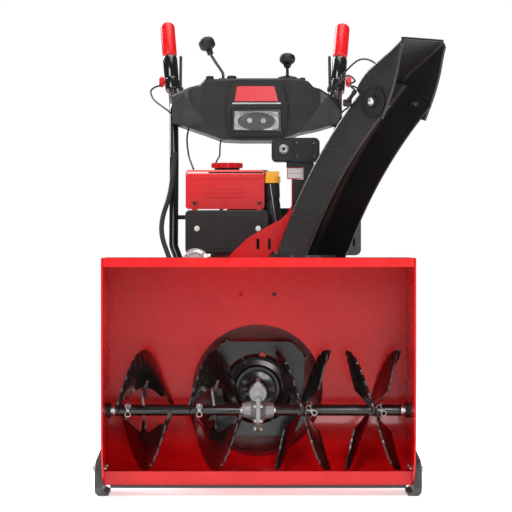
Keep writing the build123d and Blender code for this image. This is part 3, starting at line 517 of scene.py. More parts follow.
def add_spoke(name, x, angle, material):
    """The twisted flat arm between tube and flight."""
    verts = []
    steps = 8
    root, length = 0.012, 0.062
    half_thick = 0.0022
    full_twist = 55
    a = math.radians(angle)
    radial = Vector((0, -math.cos(a), math.sin(a)))
    sideways = Vector((0, math.sin(a), math.cos(a)))
    for i in range(steps + 1):
        t = i / steps
        radius = root + t * length
        half_wide = 0.0135 - 0.004 * math.sin(t * math.pi)
        twist = math.radians(full_twist * t)
        for dx, dz in ((-1, -1), (1, -1), (1, 1), (-1, 1)):
            across = dz * half_wide
            deep = dx * half_thick
            x_off = deep * math.cos(twist) + across * math.sin(twist)
            side_off = across * math.cos(twist) - deep * math.sin(twist)
            verts.append(AUGER_AXIS + Vector((x + x_off, 0, 0)) + radial * radius
                         + sideways * side_off)
    obj = add_mesh(name, verts, capped_walls(steps + 1, 4), material, "auger")
    smooth(obj, 40)


for side in (-1, 1):
    add_auger(side)
    first = 90 if side < 0 else 0
    for number, group_x in enumerate(FLIGHT_CENTRES):
        for half in (0, 180):
            # Painted highlight: the upward spokes of the left auger are zinc-coloured, while every
            # other copy of the same spoke is black paint.
            shade = ZINC if side < 0 and half == 0 else BLACK_PAINT
            add_spoke(f"spoke_{side}_{number}_{half}", side * group_x, first + half, shade)


def add_bow_tie(name, x, lean):
    """The wire clip that locks a shear pin: a loop, a cross-over and a second loop."""
    centre = auger_point(x, 0.020, 0)
    points = []
    for i in range(25):
        a = 2 * math.pi * i / 24
        along = 0.0155 * math.sin(a)
        across = 0.0065 * math.sin(2 * a)
        turned_x = across * math.cos(lean) - along * math.sin(lean)
        turned_z = across * math.sin(lean) + along * math.cos(lean)
        points.append(centre + Vector((turned_x, -0.002 * math.cos(a), turned_z)))
    add_tube(name, points, 0.0014, ZINC, "auger", sides=8, steps=3)


CLIP_PLACES = ((-0.326, 0.0), (-0.147, 0.0), (0.133, 0.9), (0.308, 0.7))
for number, (x, lean) in enumerate(CLIP_PLACES):
    add_bow_tie(f"bow_tie_{number}", x, lean)
    add_turned(f"pin_head_{number}", auger_point(x, 0.012, 0), auger_point(x, 0.021, 0),
               [(0, 0.003), (0, 0.0045), (0.85, 0.0045), (1, 0.0035)], ZINC, "auger", 20)
for side in (-1, 1):
    add_turned(f"shaft_washer_{side}", auger_point(side * 0.3595, 0, 0),
               auger_point(side * 0.3625, 0, 0),
               [(0, 0.0098), (0, 0.0155), (1, 0.0155), (1, 0.0098)], ZINC, "auger")

# ------------------------------------------------------------------ gearbox and impeller

DRUM_AXIS_Z = (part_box("impeller_bearing")[0].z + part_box("impeller_bearing")[1].z) / 2


def add_gearbox():
    """Side lobes, split flange and worm hump of the auger gearbox casting."""
    y = AUGER_AXIS.y
    flange_half = 0.0055
    place = side_place(-flange_half)
    lobe = [(0.0, 0.0105), (0.0, 0.017), (0.10, 0.0195), (0.26, 0.0225), (0.36, 0.030),
            (0.45, 0.0375), (0.55, 0.0375), (0.64, 0.030), (0.74, 0.0225), (0.90, 0.0195),
            (1.0, 0.017), (1.0, 0.0105)]
    body = add_turned("gearbox_body", auger_point(-0.040, 0, 0), auger_point(0.040, 0, 0),
                      lobe, CAST_GREY, "machine", 12, 20)
    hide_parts("auger_gearbox")
    outline = []
    for i in range(48):
        a = 2 * math.pi * i / 48
        radius = 0.050 + 0.0045 * max(0.0, math.cos(5 * a + 0.6))
        outline.append((y + radius * math.cos(a), AUGER_AXIS.z + radius * math.sin(a)))
    crown = [(-0.036, -0.02), (-0.036, 0.028), (-0.022, 0.036), (0.03, 0.036), (0.044, 0.02),
             (0.044, -0.02)]
    crown = [(y + dy, DRUM_AXIS_Z + dz) for dy, dz in crown]
    for name, line in (("gearbox_flange", outline), ("gearbox_crown", crown)):
        add_plate(name, line, place, 2 * flange_half, CAST_GREY, "machine", 0.0015)
    centre = Vector((0, y - 0.038, DRUM_AXIS_Z))
    hump = [(0.0, 0.0), (0.0, 0.007), (0.01, 0.0105), (0.03, 0.0115), (0.03, 0.0150),
            (0.01, 0.0165), (0.01, 0.0200), (0.05, 0.0235), (0.45, 0.0235), (0.6, 0.0200),
            (1.0, 0.0170), (1.0, 0.0105)]
    add_turned("gearbox_hump", centre, centre + Vector((0, 0.13, 0)), hump, CAST_GREY,
               "machine", 36, 25)
    for number, (dy, dz) in enumerate(((-0.046, 0.012), (-0.040, -0.024), (-0.014, -0.046),
                                       (0.030, -0.036), (0.040, 0.024), (-0.030, 0.064))):
        for side in (-1, 1):
            centre = Vector((side * flange_half, y + dy, AUGER_AXIS.z + dz))
            add_bolt(f"gearbox_bolt_{number}_{side}", centre, (side, 0, 0), 0.0048, 0.006,
                     ZINC, "machine")


add_gearbox()


def impeller_point(radius, angle, y):
    """A point round the impeller's axis; angle 90 is up."""
    a = math.radians(angle)
    return Vector((radius * math.cos(a), y, DRUM_AXIS_Z + radius * math.sin(a)))


def add_impeller():
    """The pressed spider of the impeller: raised rings, four arms and bent thrower blades."""
    low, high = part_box("impeller")
    front = low.y + 0.012
    reach = (high.z - low.z) / 2 + 0.008
    blade_root = 0.034
    half_thick = 0.0022
    degrees = 57
    steps = 10
    outline = []
    for arm in range(4):
        base = 90 * arm
        for r, a in ((reach * 0.985, -38), (reach * 0.955, -33), (reach * 0.955, 33),
                     (reach * 0.985, 38)):
            t = math.radians(base + a)
            outline.append((r * math.cos(t), DRUM_AXIS_Z + r * math.sin(t)))
    plate_y = front + 0.030
    plate = add_plate("impeller_spider", outline, front_place(plate_y), 0.004, BLACK_PAINT,
                      "impeller", 0.0012)
    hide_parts("impeller")
    rings = [(0, 0.010), (0, 0.021), (0.12, 0.024), (0.55, 0.026), (0.62, 0.034), (0.66, 0.044),
             (0.60, 0.050), (0.60, 0.056), (0.78, 0.062), (0.86, 0.074), (0.80, 0.082),
             (0.92, 0.088), (1.0, 0.096), (1.05, 0.096), (1.05, 0.010)]
    add_turned("impeller_hub", (0, plate_y - 0.036, DRUM_AXIS_Z), (0, plate_y + 0.002, DRUM_AXIS_Z),
               rings, BLACK_PAINT, "impeller", 64, 20)
    window_x, window_z = 0.013, DRUM_AXIS_Z + 0.086
    window = (window_x, plate_y - 0.0022, window_z)
    add_turned("impeller_window", window, (window_x, plate_y - 0.0036, window_z),
               [(0, 0.001), (0, 0.0078), (1, 0.0074), (1, 0.001)], RED, "impeller", 28)
    add_turned("impeller_window_rim", window, (window_x, plate_y - 0.0046, window_z),
               [(0, 0.0076), (0, 0.0098), (1, 0.0090), (1, 0.0078), (0, 0.0076)], BLACK_PAINT,
               "impeller", 28)
    for arm in range(4):
        base = 90 * arm + 24
        verts = []
        faces = []
        for i in range(steps + 1):
            t = i / steps
            radius = blade_root + (reach - blade_root) * t
            lean = 9 * t * t
            for y in (plate_y - 0.004, high.y - 0.004):
                for thick in (-1, 1):
                    half_angle = thick * half_thick / radius * degrees
                    verts.append(impeller_point(radius, base + lean + half_angle, y))
        for i in range(steps):
            a = i * 4
            b = a + 4
            for k, n in ((0, 1), (1, 3), (3, 2), (2, 0)):
                faces.append((a + k, a + n, b + n, b + k))
        faces.append((0, 2, 3, 1))
        faces.append(tuple(steps * 4 + k for k in (0, 1, 3, 2)))
        blade = add_mesh(f"impeller_blade_{arm}", verts, faces, BLACK_PAINT, "impeller")
        smooth(blade, 40)


add_impeller()

# ------------------------------------------------------------------ chute and deflector

joint_of = {j["name"]: j for j in frame["joints"]}
CHUTE_AXIS = Vector(joint_of["chute_rotate"]["pos_m"])
PIVOT = Vector(joint_of["deflector_tilt"]["pos_m"])
HEADING = Vector((math.sqrt(0.5), -math.sqrt(0.5), 0))
LEFT = HEADING.cross(Vector((0, 0, 1)))
PIVOT_REACH = (PIVOT - CHUTE_AXIS).dot(HEADING)
BEND = 1.229
LEAN_LOW = math.radians(23)
LEAN_HIGH = math.radians(48)
CHUTE_WIDTH = 0.154
SEAM_SHARES = (0.13, 0.31, 0.50, 0.69)


def chute_place(reach, height, left):
    """A point of the chute's own frame: reach along its heading, height, and offset to its left."""
    base = Vector((CHUTE_AXIS.x, CHUTE_AXIS.y, height))
    return base + HEADING * reach + LEFT * left


def chute_centre(t):
    """Reach, height and lean of the chute's curved centre line at share t."""
    lean = LEAN_LOW + (LEAN_HIGH - LEAN_LOW) * t
    reach = PIVOT_REACH - BEND * (math.cos(lean) - math.cos(LEAN_HIGH))
    height = PIVOT.z - BEND * (math.sin(LEAN_HIGH) - math.sin(lean))
    return reach, height, lean


def chute_edge(offset_low, offset_high, t0, t1, steps):
    """Points beside the chute's curved centre line; positive offsets lie towards its open front."""
    line = []
    for i in range(steps + 1):
        t = t0 + (t1 - t0) * i / steps
        reach, height, lean = chute_centre(t)
        offset = offset_low + (offset_high - offset_low) * t
        line.append((reach + offset * math.cos(lean), height - offset * math.sin(lean)))
    return line


def channel_section(depth, width, wall, corner, steps=5):
    """Outline of a U-shaped wall with rounded back corners as (left, deep) points."""
    def path(half, start, radius):
        side = [(-half, depth)]
        for i in range(steps + 1):
            a = math.pi / 2 * i / steps
            side.append((-half + radius - radius * math.cos(a), start + radius - radius * math.sin(a)))
        return side + [(-x, y) for x, y in reversed(side)]
    outer = path(width / 2, 0.0, corner)
    inner = path(width / 2 - wall, wall, corner - wall)
    return outer + inner[::-1]


def add_channel(name, back, front, width, wall, corner, material, body, floor_z=None):
    """A U-channel between a back line and a front line of (reach, height) points."""
    built = bmesh.new()
    rings = []
    for (rb, zb), (rf, zf) in zip(back, front):
        deep = Vector((rf - rb, zf - zb))
        unit = deep.normalized()
        ring = []
        for left, depth in channel_section(deep.length, width, wall, corner):
            ring.append(built.verts.new(
                chute_place(rb + unit.x * depth, zb + unit.y * depth, left)))
        rings.append(ring)
    skin(built, rings)
    count = len(rings[0])
    half = count // 2
    for ring in (rings[0], rings[-1]):
        for k in range(half - 1):
            built.faces.new((ring[k], ring[k + 1], ring[count - 2 - k], ring[count - 1 - k]))
    if floor_z is not None:
        cut = bmesh.ops.bisect_plane(
            built, geom=built.verts[:] + built.edges[:] + built.faces[:],
            plane_co=(0, 0, floor_z), plane_no=(0, 0, -1), clear_outer=True)
        edges = [e for e in cut["geom_cut"] if isinstance(e, bmesh.types.BMEdge)]
        bmesh.ops.edgeloop_fill(built, edges=edges)
    obj = from_bmesh(name, built, material, body)
    smooth(obj, 38)
    return obj


def add_chute():
    """The moulded channel with rolled front lips, wall ribs and its round base."""
    back = chute_edge(-0.060, -0.060, -0.02, 1.02, 30)
    front = chute_edge(0.044, 0.040, -0.02, 1.06, 30)
    wall = add_channel("chute_channel", back, front, CHUTE_WIDTH, 0.004, 0.016, CHUTE_PLASTIC,
                       "chute", CHUTE_AXIS.z + 0.0045)
    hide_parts("chute_lower")
    lip_line = chute_edge(0.0435, 0.0395, 0.16, 1.06, 16)
    for side in (-1, 1):
        points = [chute_place(r, z, side * (CHUTE_WIDTH / 2 - 0.0012)) for r, z in lip_line]
        add_tube(f"chute_lip_{side}", points, 0.0032, CHUTE_PLASTIC, "chute", 10, 2)
    for number, t in enumerate(SEAM_SHARES):
        for side in (-1, 1):
            line = []
            for i in range(9):
                offset = -0.054 + 0.092 * i / 8
                reach, height, lean = chute_centre(t)
                flat = math.sin(lean) * 0.35
                line.append(chute_place(reach + offset * math.cos(flat),
                                        height - offset * math.sin(flat) * 0.6,
                                        side * (CHUTE_WIDTH / 2 + 0.0001)))
            add_tube(f"chute_seam_{number}_{side}", line, 0.0019, CHUTE_PLASTIC, "chute", 8, 1)
    z = CHUTE_AXIS.z
    add_turned("chute_base", (CHUTE_AXIS.x, CHUTE_AXIS.y, z + 0.0042),
               (CHUTE_AXIS.x, CHUTE_AXIS.y, z + 0.020),
               [(0, 0.070), (0, 0.090), (0.1, 0.092), (0.3, 0.092), (0.36, 0.087), (0.95, 0.085),
                (1, 0.084), (1, 0.0702), (0, 0.070)], CHUTE_PLASTIC, "chute", 64)


def add_deflector():
    """The hood above the pivot."""
    back = [(0.2585, 1.0205), (0.2635, 1.0310), (0.276, 1.046), (0.296, 1.064), (0.322, 1.080),
            (0.350, 1.097), (0.378, 1.114), (0.398, 1.1285), (0.412, 1.1385)]
    front = [(0.318, 0.946), (0.334, 0.942), (0.349, 0.940), (0.362, 0.966), (0.374, 0.990),
             (0.386, 1.018), (0.399, 1.056), (0.408, 1.095), (0.417, 1.124)]
    shell = add_channel("deflector_hood", back, front, CHUTE_WIDTH + 0.010, 0.004, 0.012,
                        CHUTE_PLASTIC, "deflector")
    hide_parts("deflector")
    for side in (-1, 1):
        points = [chute_place(r - 0.001, z, side * (CHUTE_WIDTH / 2 + 0.0035))
                  for r, z in front[2:]]
        add_tube(f"deflector_lip_{side}", points, 0.0040, CHUTE_PLASTIC, "deflector", 10, 4)
    end = []
    for i in range(9):
        end.append(chute_place(0.4125, 1.1370, -0.076 + 0.152 * i / 8))
    add_tube("deflector_top_lip", end, 0.0042, CHUTE_PLASTIC, "deflector", 10, 2)


def add_sector():
    """The round tilt plate on the deflector's left cheek, with its raised rim and teeth."""
    start = chute_place(PIVOT_REACH, PIVOT.z, CHUTE_WIDTH / 2 + 0.0052)
    end = start + LEFT * 0.008
    face = add_turned(
        "tilt_plate", start, end,
        [(0, 0.008), (0, 0.038), (0.15, 0.0395), (0.5, 0.0395), (0.62, 0.0385), (0.62, 0.0335),
         (0.35, 0.0325), (0.35, 0.016), (0.9, 0.0145), (1.0, 0.0135), (1.0, 0.005)],
        BLACK_PLASTIC, "deflector", 72, 25)
    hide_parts("tilt_sector")
    for i in range(16):
        a = math.radians(150 + i * 9)
        spot = start + LEFT * 0.0025 + (HEADING * math.cos(a) + Vector((0, 0, math.sin(a)))) * 0.040
        add_turned(f"sector_tooth_{i}", spot, spot + LEFT * 0.0035,
                   [(0, 0.0005), (0, 0.0026), (1, 0.0022), (1, 0.0003)], BLACK_PLASTIC,
                   "deflector", 6)


def add_dome_bolt(name, centre, axis, radius, height, body):
    """A round-headed bolt on a thin washer."""
    c = Vector(centre)
    profile = [(0, 0.0002), (0, radius * 1.2), (0.16, radius * 1.2), (0.18, radius)]
    for i in range(1, 8):
        a = math.pi / 2 * i / 7
        profile.append((0.18 + 0.82 * math.sin(a), max(0.0003, radius * math.cos(a))))
    add_turned(name, c, c + Vector(axis).normalized() * height, profile, ZINC, body, 32, 40)


add_chute()
add_deflector()
add_sector()
for side, reach in ((1, 0.0145), (-1, 0.0052)):
    spot = chute_place(PIVOT_REACH, PIVOT.z, side * (CHUTE_WIDTH / 2 + reach))
    add_dome_bolt(f"pivot_head_{side}", spot, LEFT * side, 0.0088, 0.006, "chute")

# ------------------------------------------------------------------ cables at the chute


CABLE_RADIUS = 0.0026


def add_bending_cable(name, points, radius, material):
    """A cable between two bodies, made as a fixed mesh that rides neither body."""
    cable = add_tube(name, points, radius, material, "machine", 10, 8)
    cable.parent = None
    cable.matrix_world = Matrix.Identity(4)
    if "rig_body" in cable:
        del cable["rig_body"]
    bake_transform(cable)


barrel_low = chute_place(0.240, 0.985, CHUTE_WIDTH / 2 + 0.012)
barrel_high = chute_place(0.266, 1.012, CHUTE_WIDTH / 2 + 0.012)
add_turned("cable_barrel", barrel_low, barrel_high,
           [(0, 0.002), (0, 0.0055), (0.25, 0.0065), (0.3, 0.005), (0.7, 0.005), (0.75, 0.0065),
            (1, 0.0055), (1, 0.002)], BLACK_PLASTIC, "chute", 20)
add_box("cable_tab", (barrel_low.x - 0.012, barrel_low.y - 0.004, barrel_low.z - 0.012),
        (barrel_low.x + 0.010, barrel_low.y + 0.012, barrel_low.z + 0.006), BLACK_PLASTIC, "chute",
        0.002)
add_bending_cable("tilt_cable_a", [
    (0.206, 0.350, 1.022), (0.222, 0.335, 1.062), (0.238, 0.29, 1.090),
    (0.252, 0.22, 1.108), (0.276, 0.02, 1.122),
    (0.300, -0.20, 1.105), (0.322, -0.38, 1.062), (0.330, -0.48, 1.018),
    chute_place(PIVOT_REACH + 0.012, PIVOT.z + 0.030, CHUTE_WIDTH / 2 + 0.016),
], CABLE_RADIUS, CABLE)
add_bending_cable("tilt_cable_b", [
    (0.200, 0.345, 1.022), (0.216, 0.325, 1.056), (0.234, 0.28, 1.076),
    (0.246, 0.18, 1.086), (0.250, 0.0, 1.078),
    (0.254, -0.25, 1.050), barrel_high + Vector((-0.012, 0.05, 0.018)), barrel_high,
], CABLE_RADIUS, CABLE)

# ------------------------------------------------------------------ dash

DASH_LOW, DASH_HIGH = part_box("dash_panel")
DASH_FRONT = DASH_LOW.y
DASH_BACK = DASH_HIGH.y


def dash_sections():
    """Across the dash: x, lower edge, crease and upper edge heights."""
    return [
        (-0.234, 0.963, 1.010, 1.043), (-0.205, 0.951, 1.046, 1.056), (-0.188, 0.945, 1.028, 1.063),
        (-0.158, 0.934, 0.988, 1.070), (-0.143, 0.929, 0.964, 1.085), (-0.118, 0.919, 0.930, 1.086),
        (-0.101, 0.913, 0.920, 1.086), (-0.088, 0.909, 0.916, 1.087), (-0.040, 0.907, 0.914, 1.088),
        (0.000, 0.907, 0.914, 1.088), (0.045, 0.907, 0.914, 1.088), (0.066, 0.911, 0.918, 1.088),
        (0.100, 0.921, 0.928, 1.088), (0.120, 0.929, 0.938, 1.088), (0.145, 0.935, 0.966, 1.080),
        (0.160, 0.938, 0.988, 1.064), (0.179, 0.943, 1.014, 1.059), (0.200, 0.950, 1.038, 1.046),
        (0.234, 0.961, 0.998, 1.030),
    ]


def dash_face(x, role):
    """How far forward the dash stands at x for its lower, crease or upper line."""
    span = max(0.0, abs(x) - 0.118)
    if role == "low":
        return DASH_FRONT + 0.006 + span * 0.62
    if role == "crease":
        return DASH_FRONT + 0.001 + max(0.0, abs(x) - 0.200) * 1.0
    return DASH_FRONT + 0.012 + max(0.0, abs(x) - 0.150) * 0.35


def add_dash():
    """The moulded panel with swept wings, lofted across its width."""
    built = bmesh.new()
    rings = []
    for x, low, crease, high in dash_sections():
        places = [
            (dash_face(x, "low") + 0.030, low - 0.001), (dash_face(x, "low"), low + 0.006),
            (dash_face(x, "crease"), crease), (dash_face(x, "high"), high - 0.006),
            (dash_face(x, "high") + 0.010, high), (DASH_BACK - 0.012, high - 0.004),
            (DASH_BACK - 0.004, high - 0.014), (DASH_BACK - 0.004, low + 0.030),
            (DASH_BACK - 0.030, low + 0.004),
        ]
        rings.append([built.verts.new((x, y, z)) for y, z in places])
    skin(built, rings)
    built.faces.new(rings[0])
    built.faces.new(rings[-1][::-1])
    obj = from_bmesh("dash_shell", built, BLACK_PLASTIC, "machine")
    soften(obj, 0.003, 3, 12)
    smooth(obj, 14)
    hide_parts("dash_panel")


def add_frame_plate(name, outer, inner, y, depth, material, body, bevel=0.0015):
    """A flat frame: the area between two outlines with the same number of points."""
    built = bmesh.new()
    rings = []
    for w in (0.0, depth):
        rings.append([built.verts.new((u, y + w, v)) for u, v in outer])
        rings.append([built.verts.new((u, y + w, v)) for u, v in inner])
    outer_a, inner_a, outer_b, inner_b = rings
    count = len(outer)
    for k in range(count):
        n = (k + 1) % count
        built.faces.new((outer_a[k], outer_a[n], inner_a[n], inner_a[k]))
        built.faces.new((outer_b[k], inner_b[k], inner_b[n], outer_b[n]))
        built.faces.new((outer_a[k], outer_b[k], outer_b[n], outer_a[n]))
        built.faces.new((inner_a[k], inner_a[n], inner_b[n], inner_b[k]))
    bmesh.ops.recalc_face_normals(built, faces=built.faces)
    sharp = [e for e in built.edges if len(e.link_faces) == 2 and e.calc_face_angle(0) > 0.6]
    bmesh.ops.bevel(built, geom=sharp, offset=bevel, segments=2, affect="EDGES",
                    clamp_overlap=True)
    obj = from_bmesh(name, built, material, body)
    smooth(obj, 40)
    return obj


LAMP_Z = 0.969


def add_pod():
    """The central pod: glossy frame, blank badge, light strip, lamp with reflector and lens."""
    outer = [(-0.064, 1.081), (0.066, 1.081), (0.080, 1.045), (0.088, 1.006), (0.084, 0.960),
             (0.073, 0.924), (-0.072, 0.924), (-0.080, 0.960), (-0.083, 1.006), (-0.076, 1.045)]
    inner = [(-0.060, 1.000), (0.062, 1.000), (0.068, 0.998), (0.0695, 0.990), (0.0695, 0.950),
             (0.064, 0.938), (-0.062, 0.938), (-0.068, 0.950), (-0.068, 0.990), (-0.066, 0.998)]
    pod = add_frame_plate("pod_frame", outer, inner, DASH_FRONT - 0.0095, 0.016, BLACK_PLASTIC,
                          "machine", 0.003)
    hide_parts("dash_bezel")
    badge = [(-0.053, 1.064), (0.050, 1.064), (0.0615, 1.022), (-0.060, 1.022)]
    add_plate("badge_blank", badge, front_place(DASH_FRONT - 0.0125), 0.004, BADGE_RED,
              "machine", 0.0012)
    strip = [(-0.066, 1.0185), (0.069, 1.0185), (0.0695, 1.0145), (-0.0665, 1.0145)]
    add_plate("badge_strip", strip, front_place(DASH_FRONT - 0.0110), 0.003, STEEL, "machine",
              0.0006)
    ring_outer = [(-0.066, 0.9995), (0.068, 0.9995), (0.069, 0.9385), (-0.067, 0.9385)]
    ring_inner = [(-0.061, 0.9945), (0.063, 0.9945), (0.064, 0.9435), (-0.062, 0.9435)]
    add_frame_plate("lamp_ring", ring_outer, ring_inner, DASH_FRONT - 0.0115, 0.006, GLOSS_BLACK,
                    "machine", 0.0008)
    verts = []
    faces = []
    wide = 36
    tall = 16
    for j in range(tall + 1):
        for i in range(wide + 1):
            u = i / wide * 2 - 1
            v = j / tall * 2 - 1
            scoop = 0.020 * (1 - min(1.0, (u * 0.9) ** 2 + (v * 0.8) ** 2))
            rib = 0.0009 * math.cos(u * 26) * (1 - abs(v)) if abs(u) < 0.62 else 0
            verts.append((0.001 + u * 0.0625, DASH_FRONT - 0.004 + scoop + rib,
                          LAMP_Z + v * 0.0262))
    for j in range(tall):
        for i in range(wide):
            a = j * (wide + 1) + i
            faces.append((a, a + 1, a + wide + 2, a + wide + 1))
    reflector = add_mesh("lamp_reflector", verts, faces, MIRROR, "machine")
    smooth(reflector, 80)
    thick = reflector.modifiers.new("wall", "SOLIDIFY")
    thick.thickness = 0.001
    lens_outline = [(-0.0605, 0.9940), (0.0625, 0.9940), (0.0635, 0.9440), (-0.0615, 0.9440)]
    lens = add_plate("lamp_lens", lens_outline, front_place(DASH_FRONT - 0.0100), 0.0025, LENS,
                     "machine", 0.0008)
    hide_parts("headlight")
    for x in (-0.018, 0.020):
        add_turned(f"lamp_bulb_{x}", (x, DASH_FRONT + 0.012, LAMP_Z),
                   (x, DASH_FRONT - 0.002, LAMP_Z),
                   [(0, 0.004), (0.3, 0.0075), (0.7, 0.0075), (0.9, 0.005), (1, 0.001)],
                   MIRROR, "machine", 20)


add_dash()
add_pod()

for x, radius, height in ((-0.129, 0.011, 0.0085), (-0.0675, 0.013, 0.0095), (0.130, 0.008, 0.004)):
    add_turned(f"dash_bump_{x}", (x, DASH_FRONT + 0.045, 1.082),
               (x, DASH_FRONT + 0.045, 1.087 + height),
               [(0, radius), (0.8, radius), (0.95, radius * 0.85), (1, radius * 0.5)],
               BLACK_PLASTIC, "machine", 24)

# ------------------------------------------------------------------ knobs, grips, levers


def add_joystick():
    """A ball knob with a waist on its thin stem, over a domed seat."""
    joystick_low, joystick_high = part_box("joystick")
    x = (joystick_low.x + joystick_high.x) / 2
    y = (joystick_low.y + joystick_high.y) / 2
    top = joystick_high.z - 0.013
    radius = 0.0222
    cap = [(0.0, 0.006), (0.05, 0.012), (0.16, 0.018), (0.32, 0.0216), (0.5, radius),
           (0.68, 0.0214), (0.82, 0.0186), (0.93, 0.0130), (0.985, 0.0065), (1.0, 0.0010)]
    ball = add_turned("joystick_ball", (x, y, top - 0.034), (x, y, top), cap, BLACK_PLASTIC,
                      "joystick", 40, 60)
    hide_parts("joystick")
    low = joystick_low.z
    add_turned("joystick_stem", (x, y, low), (x, y, top - radius),
               [(0, 0.003), (0, 0.0042), (0.50, 0.0042), (0.52, 0.0075), (0.66, 0.0105),
                (0.8, 0.0125), (1.0, 0.010)], BLACK_PLASTIC, "joystick", 24)
    dome = [(0, 0.0315), (0.15, 0.0315)]
    for i in range(7):
        a = math.pi / 2 * i / 6
        dome.append((0.15 + 0.70 * math.sin(a), 0.0315 - 0.019 * (1 - math.cos(a))))
    dome += [(0.9, 0.0095), (1.0, 0.008), (1.0, 0.0062)]
    add_turned("joystick_dome", (x, y, 1.083), (x, y, 1.0975), dome, BLACK_PLASTIC, "machine", 48)


def add_shift_lever():
    """A thin cranked rod with a squat knob."""
    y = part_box("joystick_pivot")[0].y + 0.005
    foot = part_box("shift_lever")[0].z
    points = [(-0.092, y, foot), (-0.092, y, 1.100), (-0.096, y, 1.110), (-0.112, y, 1.133),
              (-0.129, y, 1.160)]
    stem = add_tube("shift_stem", points, 0.004, BLACK_PAINT, "shift_lever", 12, 6)
    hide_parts("shift_lever")
    a = Vector((-0.1265, y, 1.156))
    b = Vector((-0.1440, y, 1.205))
    profile = [(0, 0.005), (0, 0.0085), (0.22, 0.0088), (0.28, 0.012), (0.36, 0.0195),
               (0.48, 0.0225), (0.72, 0.0225), (0.86, 0.0195), (0.95, 0.013), (1.0, 0.004)]
    add_turned("shift_knob", a, b, profile, BLACK_PLASTIC, "shift_lever", 40, 35)
    add_box("shift_gate", (-0.104, y - 0.034, 1.0845), (-0.080, y + 0.034, 1.0885), GLOSS_BLACK,
            "machine", 0.001)


def grip_line(side):
    """The straight line of one grip, low end and high end."""
    if side < 0:
        return Vector((-0.2405, 0.640, 1.072)), Vector((-0.2590, 0.748, 1.2734))
    return Vector((0.2390, 0.640, 1.068)), Vector((0.2585, 0.747, 1.2700))


def add_grips():
    """Round-ended red grips over black sleeves with moulded rings."""
    for side in (-1, 1):
        low, high = grip_line(side)
        d = high - low
        split = low + d * 0.49
        red = rounded_profile(0.0212, 0.013, (high - split).length)
        grip = add_turned(f"grip_{side}", split, high, red, RED_PLASTIC, "machine", 44, 50)
        sleeve_profile = [(0, 0.0126), (0, 0.0190), (0.03, 0.0205), (0.30, 0.0208), (0.32, 0.0195),
                          (0.36, 0.0195), (0.38, 0.0208), (0.93, 0.0212), (0.97, 0.0208),
                          (1.0, 0.0198), (1.0, 0.0126)]
        sleeve = add_turned(f"sleeve_{side}", low, split, sleeve_profile, GLOSS_BLACK, "machine",
                            44, 30)
        if side < 0:
            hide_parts("hand_grips")
            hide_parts("grip_sleeves")


def add_clutch_levers():
    """Thin cranked levers beside the grips, with their pivot bosses."""
    for side, node_name in ((-1, "auger_lever"), (1, "drive_lever")):
        x = side * 0.218
        line = [(0.641, 1.068), (0.641, 1.084), (0.652, 1.103), (0.700, 1.178), (0.706, 1.178),
                (0.712, 1.172), (0.675, 1.094), (0.667, 1.075), (0.655, 1.066)]
        blade = add_plate(f"{node_name}_blade", line, side_place(x - 0.0042), 0.0084,
                          BLACK_PLASTIC, node_name, 0.0022)
        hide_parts(node_name)
        add_turned(f"{node_name}_boss", (side * 0.2095, 0.648, 1.076),
                   (side * 0.2285, 0.648, 1.076),
                   [(0, 0.003), (0, 0.0055), (0.1, 0.0075), (0.55, 0.0075), (0.6, 0.006),
                    (1, 0.006), (1, 0.002)], BLACK_PLASTIC, node_name, 24)


def add_triggers():
    """Curved dark-red triggers under the outer sides of the grips."""
    for side, node_name in ((-1, "trigger_left"), (1, "trigger_right")):
        inner = side * 0.264
        outline = [(0.646, 1.114), (0.672, 1.114), (0.674, 1.104), (0.668, 1.092), (0.660, 1.084),
                   (0.650, 1.082), (0.645, 1.092), (0.643, 1.104)]
        start = min(inner, side * 0.280)
        paddle = add_plate(f"{node_name}_paddle", outline, side_place(start), 0.016, RED_PLASTIC,
                           node_name, 0.004, 3)
        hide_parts(node_name)
        add_turned(f"{node_name}_pin", (side * 0.2624, 0.656, 1.108), (side * 0.270, 0.656, 1.108),
                   pin_profile(0.004, 0.002), ZINC, node_name, 16)


add_joystick()
add_shift_lever()
add_grips()
add_clutch_levers()
add_triggers()

# ------------------------------------------------------------------ cables and hoses

add_tube("harness", [
    (-0.226, 0.285, 0.88), (-0.231, 0.262, 0.82), (-0.240, 0.225, 0.760), (-0.257, 0.18, 0.700),
    (-0.259, 0.15, 0.655), (-0.246, 0.12, 0.610), (-0.222, 0.08, 0.560), (-0.180, 0.06, 0.520),
], 0.0068, BELT, "machine", 16)
add_tube("dash_cable_a", [
    (-0.188, 0.30, 0.950), (-0.192, 0.26, 0.915), (-0.186, 0.18, 0.870), (-0.176, 0.06, 0.842),
    (-0.170, 0.01, 0.828),
], CABLE_RADIUS, CABLE, "machine")
add_tube("dash_cable_b", [
    (-0.098, 0.30, 0.915), (-0.100, 0.27, 0.900), (-0.101, 0.20, 0.870), (-0.106, 0.15, 0.858),
    (-0.114, 0.125, 0.842),
], 0.0022, CABLE, "machine")
for side, trigger in ((-1, "trigger_left"), (1, "trigger_right")):
    add_bending_cable(f"trigger_cable_{side}", [
        (side * 0.272, 0.655, 1.088), (side * 0.290, 0.62, 1.082), (side * 0.302, 0.57, 1.066),
        (side * 0.292, 0.50, 1.040), (side * 0.268, 0.42, 1.018), (side * 0.246, 0.36, 1.000),
        (side * 0.232, 0.33, 0.985),
    ], CABLE_RADIUS, CABLE)
    add_tube(f"lever_cable_{side}", [
        (side * 0.213, 0.640, 1.064), (side * 0.214, 0.60, 1.030), (side * 0.212, 0.52, 1.000),
        (side * 0.206, 0.44, 0.985), (side * 0.200, 0.375, 0.985),
    ], CABLE_RADIUS, CABLE, "machine")


# ------------------------------------------------------------------ engine front and control head


